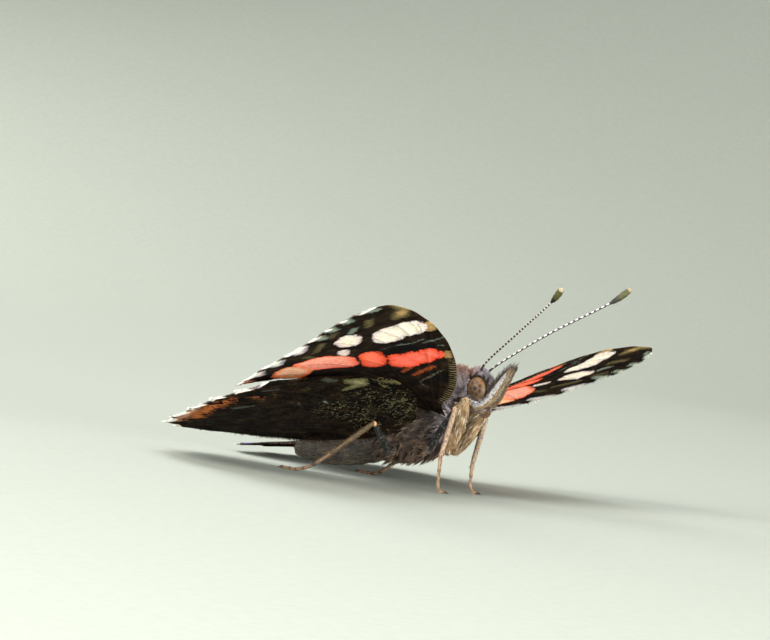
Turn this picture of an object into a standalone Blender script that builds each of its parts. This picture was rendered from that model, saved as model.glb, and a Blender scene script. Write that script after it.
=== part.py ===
"""Red admiral butterfly at rest, life size, on four legs with its wings spread and tilted up.

Modelled in millimetres in the butterfly's own frame: +X towards the head, +Y to its left, +Z up, with the
origin midway between the forewing hinges. The last lines set it on the floor and scale it to metres.
"""
import math
import random

import bmesh
import bpy
from mathutils import Matrix, Vector
from mathutils.bvhtree import BVHTree
from mathutils.geometry import delaunay_2d_cdt

MM = 0.001
GAP = 0.3
FLOOR_Z = -7.5
RIGHT, LEFT = -1, 1
SIDE_NAMES = {RIGHT: "right", LEFT: "left"}

for old in list(bpy.data.objects):
    bpy.data.objects.remove(old, do_unlink=True)


# Helpers: curves, closed forms and thin cuts

def smooth_curve(points, spans):
    """Points along a Catmull-Rom curve through the given ones, spans pieces between each two."""
    knots = [Vector(p) for p in points]
    knots = [knots[0] * 2 - knots[1]] + knots + [knots[-1] * 2 - knots[-2]]
    curve = []
    for a, b, c, d in zip(knots, knots[1:], knots[2:], knots[3:]):
        for i in range(spans):
            t = i / spans
            bend = (a * 2 - b * 5 + c * 4 - d) * t * t + (b * 3 - a - c * 3 + d) * t ** 3
            curve.append((b * 2 + (c - a) * t + bend) / 2)
    curve.append(knots[-2])
    return curve


def close_rings(rings, poles):
    """A closed mesh of rings joined one to the next, each end gathered in its pole."""
    bm = bmesh.new()
    first, last = (bm.verts.new(p) for p in poles)
    rows = [[bm.verts.new(p) for p in ring] for ring in rings]
    count = len(rows[0])
    for i in range(count):
        j = (i + 1) % count
        bm.faces.new((first, rows[0][j], rows[0][i]))
        bm.faces.new((last, rows[-1][i], rows[-1][j]))
        for low, high in zip(rows, rows[1:]):
            bm.faces.new((low[i], low[j], high[j], high[i]))
    bmesh.ops.recalc_face_normals(bm, faces=bm.faces)
    bmesh.ops.triangulate(bm, faces=bm.faces)
    return bm


def egg(centre, half, pitch, grow=0.0, sides=20, rows=12):
    """An ellipsoid with half lengths along, across and up, its front end raised by pitch degrees."""
    turn = Matrix.Rotation(math.radians(-pitch), 3, "Y")
    length, width, height = (h + grow for h in half)
    rings = []
    for row in range(1, rows):
        around = math.pi * row / rows
        ring = []
        for i in range(sides):
            angle = math.tau * i / sides
            across = width * math.sin(around) * math.cos(angle)
            up = height * math.sin(around) * math.sin(angle)
            ring.append(Vector(centre) + turn @ Vector((-length * math.cos(around), across, up)))
        rings.append(ring)
    poles = [Vector(centre) + turn @ Vector((x, 0, 0)) for x in (-length, length)]
    return close_rings(rings, poles)


def limb(stations, grow=0.0, sides=8, spans=3):
    """A tapering form along stations of (x, y, z, half thickness across, half depth)."""
    places = smooth_curve([s[:3] for s in stations], spans)
    sizes = smooth_curve([(s[3], s[4]) for s in stations], spans)
    rings = []
    ends = []
    for i, (place, size) in enumerate(zip(places, sizes)):
        ahead = places[min(i + 1, len(places) - 1)] - places[max(i - 1, 0)]
        ahead.normalize()
        across = (Vector((0, 1, 0)) - ahead * ahead.y).normalized()
        up = ahead.cross(across)
        if i in (0, len(places) - 1):
            outward = ahead if i else -ahead
            place = place + outward * grow
            ends.append(place + outward * size[1] * 0.3)
        rings.append([
            place
            + across * (size[0] + grow) * math.cos(math.tau * k / sides)
            + up * (size[1] + grow) * math.sin(math.tau * k / sides)
            for k in range(sides)
        ])
    return close_rings(rings, ends)


def slab_under_floor():
    """A block with its top at floor level, which gives the feet their flats."""
    bm = bmesh.new()
    bmesh.ops.create_cube(bm, size=1, matrix=Matrix.Translation((0, 0, FLOOR_Z - 5)) @ Matrix.Scale(10, 4))
    bmesh.ops.scale(bm, vec=(10, 10, 1), verts=bm.verts)
    return bm


def finish_material(name, colour, roughness):
    """A plain coat of one colour."""
    material = bpy.data.materials.new(name)
    material.use_nodes = True
    shader = material.node_tree.nodes["Principled BSDF"]
    shader.inputs["Base Color"].default_value = (*colour, 1)
    shader.inputs["Roughness"].default_value = roughness
    shader.inputs["Metallic"].default_value = 0.0
    return material


def place(name, bm, material=None):
    """A new object holding the mesh."""
    mesh = bpy.data.meshes.new(name)
    bm.to_mesh(mesh)
    bm.free()
    thing = bpy.data.objects.new(name, mesh)
    bpy.context.collection.objects.link(thing)
    if material:
        mesh.materials.append(material)
    return thing


def keep_largest_surface(mesh):
    """Drop the loose scraps that a cut leaves."""
    bm = bmesh.new()
    bm.from_mesh(mesh)
    unseen = set(bm.faces)
    groups = []
    while unseen:
        group = set()
        edge_faces = [unseen.pop()]
        while edge_faces:
            face = edge_faces.pop()
            group.add(face)
            for edge in face.edges:
                for other in edge.link_faces:
                    if other in unseen:
                        unseen.remove(other)
                        edge_faces.append(other)
        groups.append(group)
    groups.sort(key=lambda group: sum(face.calc_area() for face in group))
    scraps = [face for group in groups[:-1] for face in group]
    bmesh.ops.delete(bm, geom=scraps, context="FACES")
    bmesh.ops.triangulate(bm, faces=bm.faces)
    bm.to_mesh(mesh)
    bm.free()


def carve(thing, *cutters):
    """Cut the given meshes out of an object."""
    material = thing.data.materials[0]
    for bm in cutters:
        cutter = place("cutter", bm)
        cut = thing.modifiers.new("cut", "BOOLEAN")
        cut.operation = "DIFFERENCE"
        cut.solver = "EXACT"
        cut.object = cutter
        cut_mesh = bpy.data.meshes.new_from_object(thing.evaluated_get(bpy.context.evaluated_depsgraph_get()))
        thing.modifiers.clear()
        thing.data = cut_mesh
        bpy.data.objects.remove(cutter, do_unlink=True)
    keep_largest_surface(thing.data)
    thing.data.materials.clear()
    thing.data.materials.append(material)
    return thing


# Body: thorax, collar, head and ringed abdomen, without the tufts of their coat

THORAX_CENTRE = (-2.1, 0, -1.45)
THORAX_HALF = (4.55, 2.3, 3.35)
THORAX_PITCH = 36
COLLAR_CENTRE = (1.5, 0, 2.35)
COLLAR_HALF = (1.25, 1.5, 1.8)
COLLAR_PITCH = 20
HEAD_CENTRE = (3.35, 0, 2.55)
HEAD_HALF = (1.25, 1.15, 1.75)
HEAD_PITCH = 12

thorax_coat = finish_material("thorax_coat", (0.12, 0.08, 0.06), 0.9)
collar_coat = finish_material("collar_coat", (0.16, 0.11, 0.10), 0.9)
head_coat = finish_material("head_coat", (0.17, 0.14, 0.14), 0.9)
abdomen_coat = finish_material("abdomen_coat", (0.09, 0.08, 0.05), 0.85)


def thorax_form(grow=0.0):
    return egg(THORAX_CENTRE, THORAX_HALF, THORAX_PITCH, grow, sides=24, rows=14)


def collar_form(grow=0.0):
    return egg(COLLAR_CENTRE, COLLAR_HALF, COLLAR_PITCH, grow, sides=18, rows=10)


def head_form(grow=0.0):
    return egg(HEAD_CENTRE, HEAD_HALF, HEAD_PITCH, grow, sides=20, rows=12)


ABDOMEN_FRONT = Vector((-4.6, 0, -3.7))
ABDOMEN_TIP = Vector((-14.5, 0, -5.85))
ABDOMEN_SAG = 0.35
ABDOMEN_RINGS = 8
ABDOMEN_HALF_WIDTH = 1.6
ABDOMEN_HALF_HEIGHT = 1.75
RING_STEP = 0.12


def abdomen_form(grow=0.0):
    """Eight rings, each ending in a small step down to the next, and narrowing to the tail."""
    stations = []
    for ring in range(ABDOMEN_RINGS):
        for part in (0.02, 0.97):
            along = (ring + part) / ABDOMEN_RINGS
            centre = ABDOMEN_FRONT.lerp(ABDOMEN_TIP, along)
            centre.z -= ABDOMEN_SAG * math.sin(math.pi * along)
            swell = math.sin(math.pi * (0.30 + 0.62 * along)) ** 0.55
            step = RING_STEP * part * (1 - 0.6 * along)
            width = ABDOMEN_HALF_WIDTH * swell - RING_STEP + step
            height = ABDOMEN_HALF_HEIGHT * swell - RING_STEP + step
            stations.append((*centre, width, height))
    return limb(stations, grow, sides=18, spans=1)


thorax = place("thorax", thorax_form(), thorax_coat)
collar = carve(place("collar", collar_form(), collar_coat), thorax_form(GAP), head_form(GAP))
carve(place("abdomen", abdomen_form(), abdomen_coat), thorax_form(GAP))


# Head: eyes in their sockets, palps, coiled tongue and feelers

EYE_CENTRE = (3.66, 0.98, 2.63)
EYE_HALF = (0.98, 0.72, 1.18)
EYE_LEAN = 12
EYE_BACK_Y = 0.72

eye_glaze = finish_material("eye_glaze", (0.30, 0.18, 0.08), 0.35)


def eye_form(side, grow=0.0):
    """An upright oval dome, flat at its back where it sits in the head."""
    x, y, z = EYE_CENTRE
    bm = egg((x, side * y, z), EYE_HALF, EYE_LEAN, grow, sides=14, rows=10)
    cut = bmesh.ops.bisect_plane(
        bm,
        geom=list(bm.verts) + list(bm.edges) + list(bm.faces),
        plane_co=(0, side * (EYE_BACK_Y - grow), 0),
        plane_no=(0, -side, 0),
        clear_outer=True,
    )
    rim = [part for part in cut["geom_cut"] if isinstance(part, bmesh.types.BMEdge)]
    bmesh.ops.contextual_create(bm, geom=rim)
    bmesh.ops.triangulate(bm, faces=bm.faces)
    bmesh.ops.recalc_face_normals(bm, faces=bm.faces)
    return bm


head = place("head", head_form(), head_coat)
for side in (RIGHT, LEFT):
    place(f"eye_{SIDE_NAMES[side]}", eye_form(side), eye_glaze)
    carve(head, eye_form(side, GAP))

# Each palp is a flat hairy blade from under the eye, up past the face to a narrow tip
PALP_STATIONS = [
    (3.00, 0.80, 1.45, 0.28, 0.45),
    (3.75, 0.86, 1.20, 0.28, 0.62),
    (4.75, 0.76, 1.95, 0.28, 0.78),
    (5.55, 0.62, 3.35, 0.27, 0.62),
    (6.20, 0.50, 4.55, 0.26, 0.40),
    (6.60, 0.44, 5.10, 0.20, 0.22),
]

palp_scales = finish_material("palp_scales", (0.55, 0.52, 0.48), 0.85)


def palp_form(side, grow=0.0):
    return limb([(x, side * y, z, w, h) for x, y, z, w, h in PALP_STATIONS], grow, sides=8, spans=2)


for side in (RIGHT, LEFT):
    carve(
        place(f"palp_{SIDE_NAMES[side]}", palp_form(side), palp_scales),
        head_form(GAP),
        collar_form(GAP),
        eye_form(side, GAP),
    )

TONGUE_CENTRE = (4.30, 0, 0.62)
TONGUE_RADIUS = 0.78
TONGUE_HALF_THICKNESS = 0.25
TONGUE_TURNS = 2.5
TONGUE_GROOVE = 0.07
TONGUE_CLEARANCE = 0.2

tongue_skin = finish_material("tongue_skin", (0.10, 0.05, 0.03), 0.5)


def tongue_form():
    """The wound-up tongue: a small round coil with its turns as a spiral groove on both faces."""
    sides, rows = 20, 4
    rings = []
    for face in (-1, 1):
        face_rows = []
        for row in range(1, rows + 1):
            radius = TONGUE_RADIUS * row / rows
            ring = []
            for i in range(sides):
                angle = math.tau * i / sides
                wave = math.cos(math.tau * TONGUE_TURNS * row / rows - angle)
                lift = TONGUE_HALF_THICKNESS - TONGUE_GROOVE * (1 + wave) / 2
                x = TONGUE_CENTRE[0] + radius * math.cos(angle)
                z = TONGUE_CENTRE[2] + radius * math.sin(angle)
                ring.append(Vector((x, face * lift, z)))
            face_rows.append(ring)
        rings += face_rows if face < 0 else face_rows[::-1]
    middle = Vector(TONGUE_CENTRE)
    thick = Vector((0, TONGUE_HALF_THICKNESS, 0))
    return close_rings(rings, [middle - thick, middle + thick])


carve(
    place("tongue", tongue_form(), tongue_skin),
    head_form(GAP),
    palp_form(RIGHT, TONGUE_CLEARANCE),
    palp_form(LEFT, TONGUE_CLEARANCE),
)

# Feelers: a thin ringed shaft and a knob, leaning forward and out; the left one reaches wider
FEELER_ROOT = (3.55, 0.55, 4.0)
FEELER_RADIUS = 0.25
FEELERS = {
    RIGHT: {
        "low": (4.1, 1.0, 5.2), "middle": (7.95, 3.3, 8.62),
        "neck": (11.75, 6.1, 11.75), "tip": (13.1, 7.1, 13.3),
    },
    LEFT: {
        "low": (4.5, 1.2, 5.2), "middle": (8.05, 4.0, 8.75),
        "neck": (12.1, 7.8, 12.35), "tip": (13.75, 8.9, 14.15),
    },
}
KNOB_RADIUS = 0.36

feeler_scales = finish_material("feeler_scales", (0.03, 0.03, 0.03), 0.6)
knob_scales = finish_material("knob_scales", (0.16, 0.13, 0.05), 0.6)


def feeler_form(side, grow=0.0):
    bends = [FEELER_ROOT, *(FEELERS[side][spot] for spot in ("low", "middle", "neck"))]
    r = FEELER_RADIUS
    return limb([(x, side * y, z, r, r) for x, y, z in bends], grow, sides=8, spans=3)


def knob_form(side):
    """The knob swells quickly from the shaft and ends blunt."""
    start = Vector(FEELERS[side]["neck"])
    tip = Vector(FEELERS[side]["tip"])
    stations = []
    for along, swell in ((0.0, 0.72), (0.25, 0.9), (0.6, 1.0), (0.85, 0.85), (0.97, 0.5)):
        x, y, z = start.lerp(tip, along)
        stations.append((x, side * y, z, KNOB_RADIUS * swell, KNOB_RADIUS * swell))
    return limb(stations, sides=8, spans=1)


for side in (RIGHT, LEFT):
    hand = SIDE_NAMES[side]
    carve(place(f"feeler_{hand}", feeler_form(side), feeler_scales), head_form(GAP))
    carve(place(f"feeler_knob_{hand}", knob_form(side), knob_scales), feeler_form(side, GAP))


# Legs: brush-like forelegs held up to the breast, four walking legs with their feet on the floor

FORELEG_BRUSHES = {
    RIGHT: {
        "femur": [(1.7, 0.8, 0.9, 0.3, 0.4), (2.45, 1.45, 0.85, 0.3, 0.36), (2.95, 1.7, 1.5, 0.27, 0.3)],
        "brush": [(3.02, 1.72, 1.65, 0.28, 0.3), (2.85, 1.62, 0.4, 0.32, 0.42), (2.45, 1.5, -1.6, 0.34, 0.52),
                  (2.0, 1.42, -3.0, 0.3, 0.42), (1.7, 1.38, -3.85, 0.2, 0.22)],
    },
    LEFT: {
        "femur": [(1.7, 0.75, 0.9, 0.3, 0.4), (2.9, 1.15, 0.2, 0.3, 0.38), (3.9, 1.35, 0.55, 0.27, 0.32)],
        "brush": [(3.95, 1.35, 0.6, 0.28, 0.34), (3.15, 1.25, -0.6, 0.34, 0.62), (2.6, 1.15, -1.9, 0.36, 0.62),
                  (1.9, 1.05, -3.1, 0.3, 0.48), (1.35, 1.0, -4.0, 0.2, 0.22)],
    },
}

WALKING_LEGS = {
    "mid_right": {
        "side": RIGHT, "hip": (-0.15, 1.95, -4.05), "knee": (2.83, 3.6, 0.62), "ankle": (2.05, 3.6, -4.16),
        "foot": [(2.12, 3.55, -5.6), (2.2, 3.5, -6.8), (2.45, 3.5, -7.25), (2.95, 3.5, -7.3)],
    },
    "mid_left": {
        "side": LEFT, "hip": (0.0, 1.95, -4.05), "knee": (3.12, 3.5, 0.1), "ankle": (2.42, 3.45, -4.75),
        "foot": [(2.5, 3.4, -6.0), (2.62, 3.4, -6.85), (2.9, 3.4, -7.26), (3.4, 3.4, -7.3)],
    },
    "hind_right": {
        "side": RIGHT, "hip": (-3.75, 2.15, -4.75), "knee": (-3.7, 7.0, -1.85), "ankle": (-7.4, 7.5, -5.35),
        "foot": [(-9.0, 7.9, -6.75), (-10.1, 8.05, -7.22), (-11.1, 8.15, -7.3), (-12.0, 8.2, -7.3)],
    },
    "hind_left": {
        "side": LEFT, "hip": (-3.75, 2.15, -4.75), "knee": (-4.0, 6.4, -3.2), "ankle": (-6.3, 4.5, -6.1),
        "foot": [(-7.5, 4.7, -7.05), (-8.4, 4.9, -7.28), (-9.3, 5.1, -7.3), (-10.2, 5.3, -7.3)],
    },
}
COXA_ROOT_DEPTH = 1.5
COXA_RADIUS = 0.52
FEMUR_RADII = (0.34, 0.42, 0.34, 0.27)
TIBIA_RADII = (0.25, 0.30, 0.29, 0.25)
TARSUS_RADIUS = 0.25
TARSUS_SWELL = 0.04
FOOT_FLAT_RADIUS = 0.27

brush_hair = finish_material("brush_hair", (0.38, 0.26, 0.14), 0.9)
femur_scales = finish_material("femur_scales", (0.05, 0.05, 0.04), 0.8)
tibia_scales = finish_material("tibia_scales", (0.55, 0.38, 0.20), 0.7)


def straight_limb(start, end, radii, grow=0.0):
    """A round limb from start to end, with radii spread evenly along it."""
    start, end = Vector(start), Vector(end)
    stations = []
    for i, radius in enumerate(radii):
        stations.append((*start.lerp(end, i / (len(radii) - 1)), radius, radius))
    return limb(stations, grow, sides=8, spans=2)


def brush_leg(side, part, grow=0.0):
    stations = FORELEG_BRUSHES[side][part]
    return limb([(x, side * y, z, w, h) for x, y, z, w, h in stations], grow, sides=8, spans=2)


for side in (RIGHT, LEFT):
    hand = SIDE_NAMES[side]
    femur = place(f"foreleg_femur_{hand}", brush_leg(side, "femur"), brush_hair)
    brush = place(f"foreleg_brush_{hand}", brush_leg(side, "brush"), brush_hair)
    for piece, nearest in ((femur, collar_form(GAP)), (brush, brush_leg(side, "femur", GAP))):
        carve(piece, nearest, thorax_form(GAP), head_form(GAP), palp_form(side, GAP), eye_form(side, GAP))


def mirrored(point, side):
    return Vector((point[0], side * point[1], point[2]))


def tarsus_form(ankle, foot, side):
    """Five short joints, the last ones laid along the floor."""
    path = smooth_curve([mirrored(p, side) for p in (ankle, *foot)], 3)
    stations = []
    for i, spot in enumerate(path):
        on_floor = spot.z < FLOOR_Z + 0.5
        radius = FOOT_FLAT_RADIUS if on_floor else TARSUS_RADIUS + TARSUS_SWELL * (i % 2)
        stations.append((*spot, radius, radius))
    return limb(stations, sides=8, spans=1)


for leg, pose in WALKING_LEGS.items():
    side = pose["side"]
    hip, knee, ankle = (mirrored(pose[joint], side) for joint in ("hip", "knee", "ankle"))
    inward = (Vector(THORAX_CENTRE) - hip).normalized() * COXA_ROOT_DEPTH
    coxa = (hip + inward, hip, (COXA_RADIUS, COXA_RADIUS, COXA_RADIUS * 0.85))
    femur = (hip, knee, FEMUR_RADII)
    tibia = (knee, ankle, TIBIA_RADII)
    carve(place(f"{leg}_coxa", straight_limb(*coxa), thorax_coat), thorax_form(GAP))
    carve(
        place(f"{leg}_femur", straight_limb(*femur), femur_scales),
        straight_limb(*coxa, grow=GAP),
        thorax_form(GAP),
    )
    carve(place(f"{leg}_tibia", straight_limb(*tibia), tibia_scales), straight_limb(*femur, grow=GAP))
    carve(
        place(f"{leg}_tarsus", tarsus_form(pose["ankle"], pose["foot"], side), tibia_scales),
        straight_limb(*tibia, grow=GAP),
        slab_under_floor(),
    )


# Wings: thin cambered membranes with their veins raised in both faces.
# Outlines and veins are (outward, forward) from the hinge, with the wing laid flat.

MEMBRANE_HALF_THICKNESS = 0.25
VEIN_HEIGHT = 0.12
VEIN_HALF_WIDTH = 0.38
VEIN_STEP = 2.3
FILL_STEP = 2.7
POINT_CLEARANCE = 0.75
ROOT_INSET = 1.3

FOREWING = {
    "costa": [(-ROOT_INSET, 0.5), (0.4, 1.7), (1.6, 4.3), (3.2, 6.6), (6, 9.4), (9, 11.7), (12, 13.6),
              (15, 15.3), (18, 16.8), (20.5, 17.7)],
    "margin": [(22.4, 17.6), (23.3, 16.4), (23.7, 14.9), (23.7, 13.1), (23.2, 10.8), (22.9, 7.2), (22.4, 3.7),
               (21.2, 0.2), (20.3, -2.1)],
    "inner": [(15, -2.5), (10, -2.4), (5, -2.0), (1.6, -1.35), (0.1, -0.8), (-ROOT_INSET, -0.35)],
    "scallop": 0.25,
    "axis": (23, 10.5),
    "fold": (0, 0, -1),
    "veins": [
        [(0.3, 1.0), (3.6, 4.9), (7.2, 8.7), (9.8, 11.0), (12.0, 12.7)],
        [(0.3, 0.6), (3.8, 3.9), (7.6, 7.6), (9.8, 9.6)],
        [(7.6, 7.6), (11.4, 11.4), (14.8, 14.3)],
        [(9.8, 9.6), (14.2, 13.4), (17.8, 15.8)],
        [(9.8, 9.6), (15.2, 12.9), (18.4, 15.2), (20.2, 16.6)],
        [(15.2, 12.9), (19.4, 14.8), (22.4, 15.9)],
        [(19.4, 14.8), (21.5, 16.7)],
        [(9.8, 9.6), (17.0, 12.2), (22.8, 14.5)],
        [(9.8, 9.6), (10.6, 8.1), (11.2, 6.3)],
        [(10.6, 8.1), (17.0, 10.8), (22.8, 12.9)],
        [(11.2, 6.3), (17.0, 8.9), (22.3, 10.6)],
        [(0.2, -0.1), (4.6, 1.9), (8.0, 3.7), (11.2, 6.3)],
        [(8.0, 3.7), (15.5, 5.9), (22.0, 7.1)],
        [(4.6, 1.9), (12.0, 3.0), (21.5, 3.6)],
        [(0.2, -0.6), (10.0, -0.4), (20.1, 0.1)],
    ],
}

HINDWING = {
    "costa": [(-ROOT_INSET, 0.35), (1.4, 1.4), (5.4, 3.4), (10.4, 3.5), (15.2, 1.1), (19.3, -1.9)],
    "margin": [(21.5, -3.8), (22.3, -6.2), (22.2, -9.0), (20.9, -12.2), (17.9, -15.9), (13.8, -19.1),
               (8.2, -21.0), (6.1, -20.4)],
    "inner": [(4.2, -17.5), (3.1, -13), (1.9, -8), (0.6, -3.5), (-0.2, -1.6), (-ROOT_INSET, -0.6)],
    "scallop": 0.55,
    "axis": (20, -10),
    "fold": (4.6, 0.14, -9),
    "veins": [
        [(0.2, 0.3), (2.2, 0.9), (6.0, 2.1), (11.0, 1.8), (15.5, -0.5), (20.2, -2.9)],
        [(0.2, -0.2), (3.5, -0.8), (8.5, -1.2), (14.5, -2.6), (21.2, -4.9)],
        [(3.5, -0.8), (7.6, -2.6), (14.0, -4.6), (21.4, -7.4)],
        [(7.6, -2.6), (7.9, -4.1), (6.2, -6.0)],
        [(7.9, -4.1), (14.0, -6.8), (20.9, -10.0)],
        [(0.1, -0.5), (4.0, -3.8), (6.2, -6.0)],
        [(6.2, -6.0), (12.5, -9.5), (19.4, -13.0)],
        [(6.2, -6.0), (11.4, -11.0), (16.8, -16.0)],
        [(4.0, -3.8), (8.6, -11.0), (12.6, -18.8)],
        [(0.0, -0.8), (4.3, -9.0), (7.9, -20.0)],
    ],
}

# Sweep, lift and nose-up tilt in degrees, the hinge, and the camber across, along and in twist
WING_POSES = {
    "forewing_right": (FOREWING, RIGHT, (-28.7, 28.3, 1.7), (0.0, 2.3, 0.05), (0.19, 1.25, -2.5)),
    "forewing_left": (FOREWING, LEFT, (-12.5, 16.4, 24.2), (0.0, 2.3, 0.05), (-0.31, 0.81, -1.0)),
    "hindwing_right": (HINDWING, RIGHT, (-1.1, 15.4, 23.8), (-2.12, 2.36, -1.48), (-1.16, 0.24, 0.51)),
    "hindwing_left": (HINDWING, LEFT, (-15.4, -2.8, 19.3), (-2.12, 2.36, -1.38), (0.08, -0.17, 0.70)),
}


def wing_outline(form):
    """The edge of a wing: smooth costa and inner edge, and a margin notched between its veins."""
    edge = smooth_curve([*form["costa"], form["margin"][0]], 2)[:-1]
    for start, end in zip(form["margin"], form["margin"][1:]):
        start, end = Vector(start), Vector(end)
        inward = Vector((end.y - start.y, start.x - end.x)).normalized()
        notch = form["scallop"] * min(1, (end - start).length / 2.5)
        edge += [start, start.lerp(end, 1 / 3) + inward * notch, start.lerp(end, 2 / 3) + inward * notch]
    edge += smooth_curve([form["margin"][-1], *form["inner"]], 2)
    return edge


def vein_stations(vein):
    """Crest points along a vein, its own bends among them."""
    crest = [Vector(vein[0])]
    for start, end in zip(vein, vein[1:]):
        start, end = Vector(start), Vector(end)
        pieces = max(1, round((end - start).length / VEIN_STEP))
        crest += [start.lerp(end, (i + 1) / pieces) for i in range(pieces)]
    return crest


def distance_to_crests(point, crests):
    """How far a point lies from the nearest vein."""
    nearest = math.inf
    for crest in crests:
        for start, end in zip(crest, crest[1:]):
            run = end - start
            along = max(0, min(1, (point - start).dot(run) / run.length_squared))
            nearest = min(nearest, (point - start - run * along).length)
    return nearest


def wing_plan(form):
    """The wing's flat triangles, with points on its edge, on and beside its veins, and between them."""
    edge = wing_outline(form)
    crests = [vein_stations(vein) for vein in form["veins"]]
    points = list(edge)
    links = [(i, (i + 1) % len(edge)) for i in range(len(edge))]
    for crest in crests:
        links += [(len(points) + i, len(points) + i + 1) for i in range(len(crest) - 1)]
        points += crest
    for crest in crests:
        for i, spot in enumerate(crest):
            run = crest[min(i + 1, len(crest) - 1)] - crest[max(i - 1, 0)]
            beside = Vector((-run.y, run.x)).normalized() * VEIN_HALF_WIDTH
            for foot in (spot + beside, spot - beside):
                clear_of_edge = min((foot - p).length for p in edge) > VEIN_HALF_WIDTH
                if clear_of_edge and distance_to_crests(foot, crests) > VEIN_HALF_WIDTH * 0.9:
                    points.append(foot)
    low = [min(p[i] for p in edge) for i in range(2)]
    high = [max(p[i] for p in edge) for i in range(2)]
    for row in range(math.ceil((high[1] - low[1]) / FILL_STEP)):
        for column in range(math.ceil((high[0] - low[0]) / FILL_STEP)):
            spot = Vector((low[0] + FILL_STEP * (column + 0.5 * (row % 2)), low[1] + FILL_STEP * (row + 0.5)))
            if min((spot - p).length for p in points) > POINT_CLEARANCE:
                points.append(spot)
    flat, _, triangles, *_ = delaunay_2d_cdt(points, links, [list(range(len(edge)))], 1, 1e-4)
    lifts = [VEIN_HEIGHT * max(0, 1 - distance_to_crests(p, crests) / VEIN_HALF_WIDTH) for p in flat]
    return flat, triangles, lifts


def camber(form, curve, point):
    """Height of the membrane's middle over its flat plan, with the inner edge folded down."""
    axis = Vector(form["axis"]).normalized()
    along = point.dot(axis)
    across = point.dot(Vector((-axis.y, axis.x)))
    bend = curve[0] * across ** 2 + curve[1] * along ** 2 + curve[2] * along * across
    fold_line, fold, full_at = form["fold"]
    behind = max(0, min(1, point.y / full_at))
    return -bend / 100 - fold * behind * max(0, fold_line - point.x) ** 2


def wing_form(plan, form, side, angles, hinge, curve):
    """Both faces of the membrane and the wall round its edge, turned to the wing's pose."""
    flat, triangles, lifts = plan
    sweep, lift, tilt = (math.radians(angle) for angle in angles)
    turn = Matrix.Rotation(-tilt, 3, "Y") @ Matrix.Rotation(lift, 3, "X") @ Matrix.Rotation(-sweep, 3, "Z")
    bm = bmesh.new()
    faces = {}
    for face in (1, -1):
        faces[face] = []
        for point, raised in zip(flat, lifts):
            height = camber(form, curve, point) + face * (MEMBRANE_HALF_THICKNESS + raised)
            spot = turn @ Vector((point.y, point.x, height)) + Vector(hinge)
            faces[face].append(bm.verts.new((spot.x, side * spot.y, spot.z)))
    borders = set()
    for triangle in triangles:
        for face in (1, -1):
            bm.faces.new([faces[face][i] for i in triangle])
        for i, j in zip(triangle, (*triangle[1:], triangle[0])):
            borders ^= {(min(i, j), max(i, j))}
    for i, j in sorted(borders):
        top, bottom = faces[1], faces[-1]
        bm.faces.new((top[i], top[j], bottom[j]))
        bm.faces.new((top[i], bottom[j], bottom[i]))
    bmesh.ops.delete(bm, geom=[v for v in bm.verts if not v.link_faces], context="VERTS")
    bmesh.ops.recalc_face_normals(bm, faces=bm.faces)
    return bm


wing_scales = {
    "forewing": finish_material("forewing_scales", (0.06, 0.04, 0.03), 0.8),
    "hindwing": finish_material("hindwing_scales", (0.10, 0.07, 0.05), 0.8),
}
plans = {"forewing": wing_plan(FOREWING), "hindwing": wing_plan(HINDWING)}
for name, (form, side, angles, hinge, curve) in WING_POSES.items():
    kind = name.split("_")[0]
    wing = place(name, wing_form(plans[kind], form, side, angles, hinge, curve), wing_scales[kind])
    carve(wing, thorax_form(GAP))


# Coat: flat tapered tufts that lie back over the body and hang from the breast, fused to what they
# grow from and kept clear of everything else

TUFT_THICKNESS = 0.5
TUFT_SUNK = 0.45
TUFT_JITTER = 0.22


def tuft_form(path, across, width, thickness):
    """A flat tapered tuft along a path of four points, ending in a tip."""
    rings = []
    for i, share in enumerate((0.8, 1.0, 0.75)):
        ahead = (path[i + 1] - path[max(i - 1, 0)]).normalized()
        flat = (across - ahead * across.dot(ahead)).normalized() * width * share / 2
        deep = ahead.cross(flat).normalized() * thickness * share / 2
        rings.append([path[i] + flat, path[i] + deep, path[i] - flat, path[i] - deep])
    return close_rings(rings, [path[0].lerp(path[1], -0.1), path[3]])


def skin_spot(centre, half, pitch, direction, height=0.0):
    """The point of an egg's skin in a direction from its centre, and the way out of the skin there."""
    turn = Matrix.Rotation(math.radians(-pitch), 3, "Y")
    local = turn.transposed() @ Vector(direction)
    local *= 1 / math.sqrt(sum((c / h) ** 2 for c, h in zip(local, half)))
    outward = (turn @ Vector([c / h ** 2 for c, h in zip(local, half)])).normalized()
    return Vector(centre) + turn @ local + outward * height, outward


def egg_tufts(egg_shape, directions, lie, length, width, rise, hang=0.0):
    """Paths of the tufts of one egg, each with the way across it and its width; hang lifts the low ones."""
    centre = Vector(egg_shape[0])
    tufts = []
    for direction in directions:
        root, outward = skin_spot(*egg_shape, direction)
        low = max(0, -outward.z)
        way = lie(outward)
        way = (way - outward * way.dot(outward)).normalized()
        path = [root - outward * TUFT_SUNK - way * 0.2]
        for along, height in ((0.15, 0.1), (0.6, 0.75), (1.0, 1.0)):
            over = root + way * length * along - centre
            path.append(skin_spot(*egg_shape, over, height * (rise + hang * low))[0])
        tufts.append((path, way.cross(outward), width))
    return tufts


def spread_directions(count, dice):
    """Directions spread evenly round a ball, each moved a little."""
    directions = []
    for i in range(count):
        height = 1 - 2 * (i + 0.5) / count
        angle = i * math.pi * (3 - math.sqrt(5))
        level = math.sqrt(1 - height ** 2)
        spot = Vector((level * math.cos(angle), level * math.sin(angle), height))
        directions.append(spot + Vector([dice.uniform(-TUFT_JITTER, TUFT_JITTER) for _ in range(3)]))
    return directions


def tree_of(thing):
    """A search tree of an object's faces."""
    mesh = thing.data
    return BVHTree.FromPolygons([v.co for v in mesh.vertices], [tuple(f.vertices) for f in mesh.polygons])


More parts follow.
